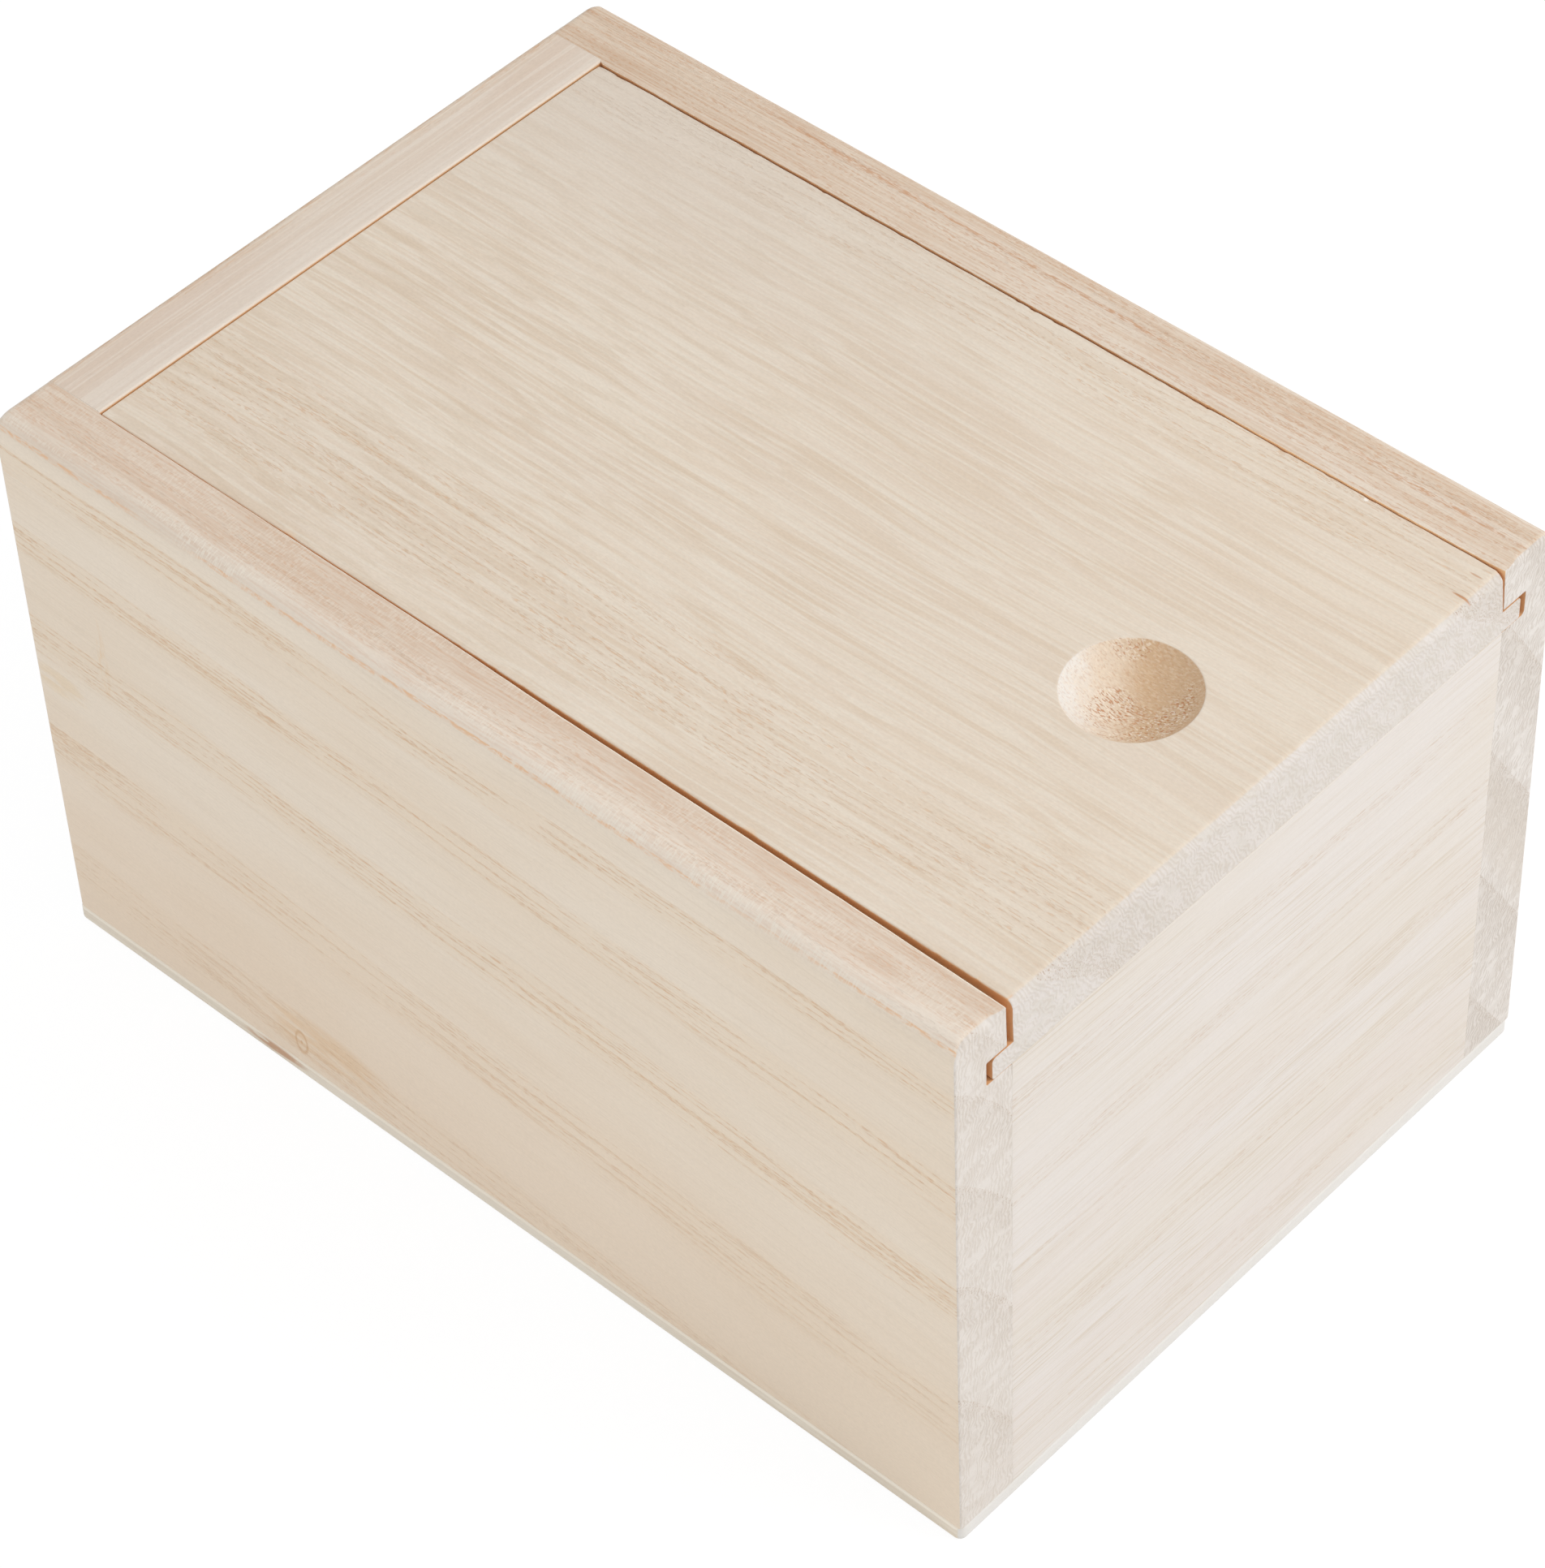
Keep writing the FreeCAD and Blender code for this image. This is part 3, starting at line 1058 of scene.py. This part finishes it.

# %% [markdown]
# Inside the joints the wood is as the saw left it: no sander reached it, and torn fibres lie along
# it. Where the narrow gaps beside the lid's top edges and the grooves' front ends are seen, it is a
# darker orange brown: the orange of the sawn wood with painted shade of the gaps in it. Light that
# is thrown to and fro in the narrow gaps deepens that colour too.

# %% Sawn faces inside the joints
SAWN = paint(233, 210, 180)
SAWN_DARK = paint(224, 193, 157)
# The orange of sawn wood, darkened as painted shade of the narrow gaps
ORANGE_GAP_SHADE = paint(222, 172, 124)


def sawn(plank, colour, end, mask, orange_gap_shade):
    """Rough sawn wood where the mask is 1 and not end grain, darker with painted gap shade in the second.
    """
    fuzz = plank.noise(6.0, 0.45, 40.3, 2.0)
    rough = fuzz.step(0.36, 0.66).mix(SAWN_DARK, SAWN)
    rough = orange_gap_shade.mix(rough, ORANGE_GAP_SHADE)
    return (mask * (1 - end)).mix(colour, rough)


print("sawn wood ready")

# %% [markdown]
# ## Side boards' wood
#
# Each board was cut from another plank, so each has its own rings, strengths and seed. On the left
# board the rings cross the outer face as a few wide bands that fall towards the front, and cross its
# end grain on the slant. The rings of the right board stand steeper on its end grain.

# %% Rings of the side boards
def left_flow(along, across, up):
    """The fibres of the left board fall towards the front, and more so lower down."""
    return across, up + along * (0.03 + 0.0008 * (92 - up))


def left_rings(plank):
    """Ring count t of the left board, from depth = 13.4 t + 1.9 t^2 under its topmost ring."""
    inward = plank.across + OUTER_Y
    depth = 95 - (plank.up + inward * 0.8 + inward * inward * 0.03)
    root = 179.6 + 7.6 * depth
    return ((root | 0.0) ** 0.5 - 13.4) / 3.8 + 20


def right_rings(plank):
    """Ring count of the right board: rings 25 mm apart that slope steeply on its end grain."""
    return (117 - plank.up - (plank.across - INNER_Y) * 1.6) / 25 + 20


print("rings of the side boards ready")

# %% [markdown]
# The groove and the lip's inner face are sawn, and the rim above them is sanded. Which is which
# depends on the place and on the way that the surface faces, so masks made of both tell them apart,
# and no face has to be picked by hand.

# %% Joint faces of the side boards
def front_end(plank):
    """1 at the very front and 0 from 6 mm behind it."""
    return plank.x.step(FRONT_X - 6, FRONT_X - 1)


def joint_side(plank):
    """1 on the faces of a side board's lip and groove, and a second mask for their painted gap shade."""
    side = abs(plank.y)
    groove = side.step(GROOVE_Y + 0.15, GROOVE_Y + 0.05)
    groove = groove * plank.z.between(GROOVE_FLOOR - 0.1, GROOVE_TOP + 0.15, 0.05)
    inward = plank.normal("Y") * (plank.y / side)
    lip = inward.step(-0.5, -0.8) * plank.z.step(TOP_Z - 0.05, TOP_Z - 0.2)
    lip = lip * plank.z.step(GROOVE_FLOOR, GROOVE_TOP)
    # Painted gap shade on the top of the lip's face and at the grooves' front ends, where they show
    top = lip * plank.z.step(TOP_Z - 2.0, TOP_Z - 1.0)
    return groove | lip, top | front_end(plank)


print("joint faces ready")

# %% [markdown]
# The rims are pinker than the faces. They wander between tints and grow darker towards the back, and
# the left one has a painted highlight on its rounded outer edge, paler towards the front. Rows of
# short open pores run along them, crossed by light flecks.

# %% Tints and pores of a rim
# Painted highlight of the left rim's rounded outer edge, at the back and towards the front
RIM_HIGHLIGHT = paint(224, 211, 196)
RIM_HIGHLIGHT_PALE = paint(235, 223, 209)


def rim_tint(plank, rim, out):
    """The rim's ground: it wanders between two neighbours of its three tints, from light to dark."""
    tints = rim["tints"]
    wander = plank.noise(46, 3.0, 43.1, 2.0).step(0.40, 0.62)
    fine = plank.noise(14, 0.34, 44.9, 1.5)
    back = plank.x.step(40, -80) * rim["back"]
    tint = wander.mix(back.mix(*tints[:2]), back.mix(*tints[1:]))
    # Painted highlight on the rounded outer edge, paler towards the front
    outer_highlight = out.step(OUTER_Y - 5.0, OUTER_Y - 2.0) * rim["outer_highlight"]
    tint = outer_highlight.mix(tint, plank.x.step(-60, 30).mix(RIM_HIGHLIGHT, RIM_HIGHLIGHT_PALE))
    tint = (fine.step(0.46, 0.60) * 0.20).mix(tint, WOOD["light"])
    return (fine.step(0.50, 0.38) * 0.15).mix(tint, rim["dash"])


def rim_rows(plank, rim, out, outer):
    """Short rows of pores all over the rim, and one long row at out = row_out + row_slope x."""
    rows = plank.noise(26, 0.42, 46.8, 1.0).step(0.48, 0.60)
    rows = rows * plank.noise(1.0, 0.20, 49.5, 1.0).step(0.48, 0.60)
    off_row = out - plank.x * rim["row_slope"] - rim["row_out"]
    off_row = (off_row + (plank.noise(50, 9, 50.9) - 0.5) * rim["row_bend"]) / rim["row_half"]
    long_row = (off_row * off_row).step(1.0, 0.1) * plank.noise(40, 9, 51.6).step(0.36, 0.52)
    beads = plank.noise(1.4, 0.25, 52.1, 1.5).step(0.42, 0.58)
    return rows * (1 - outer) * rim["pores"], long_row * (beads * 0.85 + 0.15) * rim["row"]


print("tints and pores of a rim ready")

# %% [markdown]
# Both rims have the same parts in other strengths, so a table describes each. Over the rim lie a
# painted highlight on the lip's edge beside the lid, the end grain at the back, and last the sawn
# faces of the joint, in the order in which one hides another.

# %% Rims of the side boards
# Painted highlight on the lip's edge beside the lid
LIP_EDGE_HIGHLIGHT = paint(244, 234, 218)
REAR_END = paint(222, 205, 186)


def rim_details(rim):
    """A side board's details: its rim, a painted highlight on the lip beside the lid, and sawn joint faces.

    out is the distance from the middle of the box. The end grain at the back is a little warmer than
    at the front.
    """

    def details(plank, colour, relief, end):
        """The colour and the relief with this rim's details."""
        out = abs(plank.y)
        upward = plank.normal("Z").step(0.25, 0.85) * plank.z.step(GROOVE_TOP + 1, TOP_Z - 2.5)
        upward = upward * (1 - end)
        # The zone of the painted highlight has fewer pores and more light flecks
        outer = out.step(OUTER_Y - 3.5, OUTER_Y - 1.5) * rim["outer_highlight"]
        rows, long_row = rim_rows(plank, rim, out, outer)
        colour = (upward * 0.9).mix(colour, rim_tint(plank, rim, out))
        colour = (upward * rows).mix(colour, rim["dash"])
        colour = (upward * long_row).mix(colour, rim["row_dash"])
        across = plank.noise(0.26, 1.2, 52.7, 1.0, tall=9.0).step(0.48, 0.62)
        across = across * plank.noise(16, 3, 54.2).step(0.42, 0.56)
        colour = (upward * across * (outer * 0.6 + rim["flecks"])).mix(colour, WOOD["light"])
        inward = plank.normal("Y") * (plank.y / out)
        # Painted highlight on the lip's top edge, where it turns down towards the lid
        corner = inward.step(-0.08, -0.40) * plank.z.step(TOP_Z - 0.6, TOP_Z - 0.4)
        corner = corner * out.step(INNER_Y + 2, INNER_Y + 1.5)
        colour = (corner * rim["corner"]).mix(colour, LIP_EDGE_HIGHLIGHT)
        colour = (end * plank.x.step(10, -10) * 0.4).mix(colour, REAR_END)
        joint, orange_gap_shade = joint_side(plank)
        return sawn(plank, colour, end, joint, orange_gap_shade), relief - rows * upward * 1.2

    return details


left_rim = rim_details({
    "tints": (paint(218, 200, 182), paint(211, 188, 167), paint(205, 180, 157)),
    "dash": paint(205, 158, 120), "back": 0.7, "outer_highlight": 0.7, "pores": 0.36, "flecks": 0.26, "corner": 0.85,
    "row_dash": paint(226, 174, 124), "row": 1.0, "row_out": OUTER_Y - 0.6, "row_slope": 0.0,
    "row_bend": 0.3, "row_half": 0.24,
})
right_rim = rim_details({
    "tints": (paint(219, 202, 184), paint(210, 187, 164), paint(201, 175, 150)),
    "dash": paint(192, 140, 98), "back": 0.9, "outer_highlight": 0.0, "pores": 0.42, "flecks": 0.10, "corner": 0.3,
    "row_dash": paint(192, 140, 98), "row": 0.7, "row_out": OUTER_Y - 4.8, "row_slope": -0.016,
    "row_bend": 1.2, "row_half": 0.45,
})
print("rims ready")

# %% [markdown]
# A knot low on the left board's face, a resin blotch and a scrape show there as ovals with broken
# edges. On the right board a darker wedge slopes across the end grain.

# %% Marks of the side boards
def left_details(plank, colour, relief, end):
    """The left board's own marks: a small knot low on its face, a resin blotch and a faint scrape."""
    low = plank.z.step(62, 8) * (1 - end)
    colour = (low * 0.5).mix(colour, paint(231, 210, 187))
    colour = (low * plank.x.step(10, 80) * 0.45).mix(colour, paint(215, 199, 178))
    outside = plank.y.step(-OUTER_Y + 2, -OUTER_Y + 0.5)
    halo = plank.spot(-35, -OUTER_Y, 10, (17, 3, 5.5)) * plank.noise(9, 1.2, 55.4, 2.0).step(0.36, 0.62)
    colour = (halo * outside * 0.42).mix(colour, paint(216, 176, 128))
    blotch = plank.spot(-82, -OUTER_Y, 53, (7, 3, 3.4)) * plank.noise(7, 1.6, 58.2, 2.0).step(0.38, 0.55)
    colour = (blotch * outside * 0.3).mix(colour, paint(221, 190, 142))
    scrape = plank.spot(-71, -OUTER_Y, 65, (1.1, 3, 9))
    scrape = scrape * plank.noise(1.0, 1.5, 60.9, 2.0, tall=5).step(0.44, 0.58)
    colour = (scrape * outside * 0.5).mix(colour, paint(222, 190, 150))
    across, up = (plank.x + 38.8) / 1.35, (plank.z - 7.8) / 2.5
    reach = (across * across + up * up) ** 0.5
    eddy = reach.between(0.72, 1.0, 0.12) + reach.step(0.22, 0.10)
    colour = (eddy * outside * 0.55).mix(colour, paint(201, 158, 112))
    return left_rim(plank, colour, relief, end)


def right_details(plank, colour, relief, end):
    """A darker wedge of late wood that slopes across the end grain, and painted light on the lip in the
    gap.
    """
    wedge = (plank.z + (plank.across - INNER_Y) * 1.6).between(46, 64, 3) * end
    colour = (wedge * 0.4).mix(colour, paint(203, 191, 178))
    colour, relief = right_rim(plank, colour, relief, end)
    # Painted light on the lip's face where it shows in the right gap towards the front
    lip = plank.z.step(TOP_Z - 1.6, TOP_Z - 0.8) * plank.z.step(TOP_Z - 0.02, TOP_Z - 0.10)
    lip = lip * plank.normal("Y").step(-0.5, -0.8) * plank.y.step(INNER_Y + 1, INNER_Y)
    lip = lip * plank.x.between(36, FRONT_X - 4, 12)
    return (lip * 0.9).mix(colour, paint(252, 208, 158)), relief


print("marks of the side boards ready")

# %% [markdown]
# The left board is paler and yellower than the right one, and its pores are lighter. Its grit and its
# streaks are weaker too, but its rings show more on the long face.

# %% Finishes of the side boards
LEFT = {**WOOD, "base": paint(229, 215, 197), "cloud": paint(227, 211, 191),
        "light": paint(232, 219, 201), "streak": paint(223, 206, 185), "halo": paint(227, 208, 184),
        "row": paint(221, 195, 164), "pore": paint(210, 162, 118)}
RIGHT = {**WOOD, "base": paint(224, 208, 190), "cloud": paint(218, 200, 180),
         "end": paint(219, 212, 205), "end_shade": paint(212, 204, 196), "end_late": paint(204, 194, 184),
         "end_ray": paint(193, 182, 171)}
finishes = {
    "left_side_board": wood(
        "wood_left", "X", 2.0, left_flow, left_rings, LEFT,
        {**AMOUNTS, "streak": 0.15, "line": 0.22, "thread": 0.18, "halo": 0.4, "rows": 0.5, "pores": 0.52,
         "stray": 0.02, "bend": 2.4, "grit": 0.11, "band": 0.34, "ray_lean": 0.12},
        left_details,
    ),
    "right_side_board": wood(
        "wood_right", "X", 42.0, straight, right_rings, RIGHT,
        {**AMOUNTS, "ray_lean": 0.35, "band": 0.4, "rays": 0.8, "end_late": 0.5},
        right_details,
    ),
}

# %% [markdown]
# ## Wood of the front, back and bottom boards
#
# The front board is the palest: fine tan lines cross it, closer together towards the foot. The top
# of the back board is pale too, with small brown pores along it and a painted highlight on its inner
# edge.

# %% Marks of the front, back and bottom boards
def cross_flow(along, across, up):
    """The fibres of the front board run down to the right by two or three degrees."""
    return across, up + along * 0.035


def cross_rings(plank):
    """Ring count of the boards that run across: rings 17 mm apart that slope on the end grain."""
    return (plank.up + plank.across * 0.8) / 17 + 20.4


def front_details(plank, colour, relief, end):
    """Fine tan lines across the front board, closer in its lower half."""
    thin = plank.noise(20, 0.26, 64.1, 1.5).step(0.55, 0.64)
    density = plank.noise(60, 9, 66.2, 1.0) + plank.z.step(60, 20) * 0.08
    colour = (thin * density.step(0.40, 0.60) * 0.6).mix(colour, paint(203, 188, 168))
    pink = plank.noise(70, 22, 68.8, 1.0).step(0.45, 0.60) * plank.z.step(70, 30)
    colour = (pink * 0.4).mix(colour, paint(218, 207, 199))
    return colour, relief - thin * 0.3


def back_details(plank, colour, relief, end):
    """A calm outer face, a painted highlight on the inner top edge and small brown pores near the outer."""
    face = plank.x.step(BACK_X + 0.5, BACK_X + 0.1)
    colour = (face * 0.22).mix(colour, paint(222, 208, 191))
    top, inner_x = plank.z.step(TOP_Z - 1.2, TOP_Z - 0.4), back_high[0]
    wide = plank.x.step(inner_x - 6.0, inner_x - 2.0) * top
    colour = (wide * 0.35).mix(colour, paint(222, 210, 197))
    # Painted highlight along the inner top edge
    inner = plank.x.step(inner_x - 1.0, inner_x - 0.5) * top
    colour = (inner * 0.25).mix(colour, paint(230, 219, 205))
    outer = plank.x.step(BACK_X + 2.2, BACK_X + 0.8) * plank.z.step(TOP_Z - 4, TOP_Z - 2)
    outer = outer * plank.noise(3, 0.3, 71.5, 1.0).step(0.52, 0.62)
    colour = (outer * 0.5).mix(colour, paint(206, 156, 112))
    # Painted gap shade along the line where the lid closes against the board
    inside = plank.x.step(inner_x - 0.12, inner_x - 0.04) * plank.normal("X").step(0.6, 0.9)
    orange_gap_shade = inside * plank.z.between(TOP_Z - 1.4, TOP_Z - 0.25, 0.15)
    return sawn(plank, colour, end, orange_gap_shade, orange_gap_shade), relief


def bottom_details(plank, colour, relief, end):
    """A painted highlight along the upper edge of the long sides, and a brown patch on the left side."""
    # Painted highlight along the upper edge
    bottom_edge_highlight = plank.z.step(FOOT_Z - 0.9, FOOT_Z - 0.4) * (1 - end)
    colour = (bottom_edge_highlight * 0.9).mix(colour, paint(240, 231, 216))
    patch = plank.spot(-45, -OUTER_Y, 1.8, (7.5, 3, 1.1)) * plank.noise(4, 0.7, 74.0, 2.0).step(0.36, 0.52)
    colour = (patch * 0.8).mix(colour, paint(186, 140, 104))
    return colour, relief


print("marks of the cross boards ready")

# %% [markdown]
# The fibres of the front and back boards run across the box, so their grain axis is Y. Those of the
# bottom board run along the box, and its sawn ends are nearly as pale as its long edges.

# %% Finishes of the front, back and bottom boards
FRONT = {**WOOD, "base": paint(219, 211, 204), "cloud": paint(218, 209, 199),
         "streak": paint(215, 204, 191), "light": paint(222, 215, 208), "thread": paint(205, 192, 175),
         "halo": paint(215, 203, 188), "row": paint(207, 189, 168), "pore": paint(190, 152, 118)}
BACK = {**WOOD, "base": paint(216, 200, 184), "cloud": paint(213, 194, 177),
        "streak": paint(210, 190, 170), "light": paint(225, 213, 199)}
BOTTOM = {**WOOD, "base": paint(229, 221, 207), "cloud": paint(222, 212, 195),
          "end": paint(222, 218, 213), "end_shade": paint(221, 217, 211), "end_late": paint(219, 215, 208),
          "end_ray": paint(218, 213, 206)}
finishes["front_board"] = wood(
    "wood_front", "Y", 123.0, cross_flow, cross_rings, FRONT,
    {**AMOUNTS, "streak": 0.2, "line": 0.3, "thread": 0.3, "pores": 0.3, "rows": 0.1, "halo": 0.12,
     "grit": 0.07, "stray": 0.03, "bump": 0.4},
    front_details,
)
finishes["back_board"] = wood(
    "wood_back", "Y", 81.0, straight, cross_rings, BACK, {**AMOUNTS, "streak": 0.35}, back_details,
)
finishes["bottom_board"] = wood(
    "wood_bottom", "X", 165.0, straight, cross_rings, BOTTOM,
    {**AMOUNTS, "streak": 0.3, "rays": 0.2, "end_pores": 0.1, "end_late": 0.1, "grit": 0.05, "bump": 0.2},
    bottom_details,
)

# %% [markdown]
# ## Wood of the lid
#
# In the finger dish the cutter went through the fibres at every angle. The side where it cut cleanly
# is whitish, and the side where it met the ends of the fibres is tan. Both are partly painted light:
# the whitish wall faces the key lamp and carries a painted highlight, the tan wall turns away from it
# and carries painted shade. Where the cutter ran against the fibres it tore them, which leaves brown
# dots and light specks. A few ovals say where, and how badly.

# %% Finish of the dish
ROUGH_OVALS = {
    # middle over and down, half width and half height, with the strength of the tearing there
    (-0.24, -0.06, 0.34, 0.38): 1.0, (-0.42, 0.20, 0.30, 0.34): 0.7, (-0.02, -0.93, 0.34, 0.22): 0.8,
    (0.04, 0.14, 0.32, 0.30): 0.7,
}
LEAST_ROUGH = 0.24


def dish_finish(plank):
    """The dish's mask, its colour and its torn fibres.

    over and down run across the dish from its whitish to its tan side and towards its torn side, and
    are 1 at its rim.
    """
    right, forward = plank.y - DISH_Y, plank.x - DISH_X
    reach = (right * right + forward * forward) ** 0.5
    dish = reach.step(DISH_RADIUS + 0.05, DISH_RADIUS - 0.15) * plank.z.step(LID_TOP - 0.02, LID_TOP - 0.12)
    over = (forward * 0.80 + right * 0.60) / DISH_RADIUS
    down = (forward * 0.64 - right * 0.77) / DISH_RADIUS
    blur = (plank.noise(4.0, 2.0, 77.7, 2.0) - 0.5) * 0.5
    # Whitish towards the key lamp, tan away from it: the fibres' own tones with painted light and shade
    inside = (over - down * 0.1 + blur).step(-0.95, -0.30).mix(paint(227, 221, 213), paint(222, 202, 179))
    inside = (over + blur * 0.6).step(-0.38, 0.24).mix(inside, paint(203, 170, 134))
    lines = plank.noise(1.8, 0.28, 79.2, 1.5).step(0.54, 0.64)
    inside = (lines * 0.22).mix(inside, paint(236, 214, 184))
    swirl = reach / 0.8 + blur * 3.0
    swirl = swirl.maths("FRACT", swirl).between(0.35, 0.65, 0.2) * down.step(0.1, 0.6)
    inside = (swirl * 0.2).mix(inside, paint(208, 170, 130))

    def patch(middle_over, middle_down, wide, high):
        """1 inside an oval of the dish and 0 outside it."""
        first, second = (over - middle_over) / wide, (down - middle_down) / high
        return (first * first + second * second).step(1.1, 0.4)

    rough = (over * 0.6 + down * 0.8).step(0.05, 0.50)
    rough = rough * reach.step(0.96 * DISH_RADIUS, 0.80 * DISH_RADIUS)
    for oval, strength in ROUGH_OVALS.items():
        rough = rough | patch(*oval) * strength
    rough = rough | LEAST_ROUGH
    dots = plank.noise(0.55, 0.26, 80.1, 0.0, tall=0.36).step(0.59, 0.67)
    tears = plank.noise(1.5, 0.24, 84.6, 1.0, tall=0.40).step(0.58, 0.64) * patch(-0.16, -0.02, 0.50, 0.50)
    torn = (dots | tears) * rough
    inside = (torn * 0.8).mix(inside, paint(184, 118, 69))
    specks = plank.noise(0.5, 0.26, 81.8, 0.0, tall=0.4).step(0.57, 0.64) * rough
    return dish, (specks * 0.5).mix(inside, paint(246, 235, 219)), torn


print("torn fibres lie in %d ovals" % len(ROUGH_OVALS))

# %% [markdown]
# The lid has the liveliest figure: long light lines, tan lens-shaped spots between them, and orange
# pores in two lengthwise zones. Two splinters lie at its front right corner and a chip on its right
# edge. Its rebates and its back end are as rough from the saw as the grooves are.

# %% Finish of the lid
def lid_rings(plank):
    """Ring count of the lid: pore bands along both long edges, and slanting rings on its end."""
    return (plank.across + 46 - (LID_TOP - plank.up) * 1.2) / 85 + 20


def lid_details(plank, colour, relief, end):
    """The dish, dull spots, a calmer front, painted shade at the right back, splinters, chip and rebates.
    """
    dish, inside, torn = dish_finish(plank)
    colour = (dish * 0.95).mix(colour, inside)
    top = 1 - end
    lenses = plank.noise(10, 1.2, 83.4, 2.0).step(0.50, 0.60) * plank.x.step(40, -40) * top
    colour = (lenses * 0.32).mix(colour, paint(204, 184, 160))
    near = plank.x.step(15, 75) * top * (1 - dish)
    colour = (near * 0.16).mix(colour, paint(221, 206, 188))
    # Painted shade: darker and greyer towards the right back
    right_back_shade = plank.y.step(-5, 50) * plank.x.step(45, -75) * top
    colour = (right_back_shade * 0.65).mix(colour, paint(211, 198, 184))
    splinter = plank.spot(FRONT_X - 1.5, 42.0, LID_TOP, (2.0, 0.26, 1.8))
    splinter = splinter + plank.spot(FRONT_X - 2.6, 46.4, LID_TOP, (1.3, 0.20, 1.6)) * 0.7
    colour = (splinter * 0.85).mix(colour, paint(190, 132, 86))
    chip = plank.spot(65.0, 48.6, LID_TOP, (0.4, 0.45, 0.6))
    colour = (chip * 0.9).mix(colour, paint(246, 240, 231))
    saw = abs(plank.y).step(48.5, 48.9) * plank.z.step(LID_TOP - 0.03, LID_TOP - 0.2)
    # Painted gap shade on the top of the rebates and at the front end, where they show in the gaps
    orange_gap_shade = saw * plank.z.step(LID_TOP - 2.0, LID_TOP - 1.0) | front_end(plank)
    saw = saw | plank.x.step(lid_low[0] + 0.2, lid_low[0] + 0.1)
    saw = saw * plank.z.step(lid_low[2] + 0.2, lid_low[2] + 0.4)
    colour = sawn(plank, colour, end * plank.x.step(0, 1), saw, orange_gap_shade)
    return colour, relief - torn * dish * 2.0 - splinter * 3.0


LID = {**WOOD, "base": paint(222, 207, 189), "cloud": paint(219, 203, 185),
       "streak": paint(212, 192, 169), "light": paint(226, 215, 199), "thread": paint(213, 194, 170),
       "pore": paint(211, 162, 116), "end": paint(215, 207, 200), "end_shade": paint(211, 203, 194)}
finishes["lid_board"] = wood(
    "wood_lid", "X", 207.0, straight, lid_rings, LID,
    {**AMOUNTS, "band": 0.20, "stray": 0.10, "halo": 0.08, "rows": 0.06, "pores": 0.42, "ray_lean": -0.55,
     "streak_long": 30.0, "streak_wide": 1.8, "bend": 3.4, "streak": 0.75, "line": 0.55, "grit": 0.15},
    lid_details,
)
for name, finish in finishes.items():
    bpy.data.objects[name].data.materials.append(finish)
print("finished boards:", ", ".join(finishes))
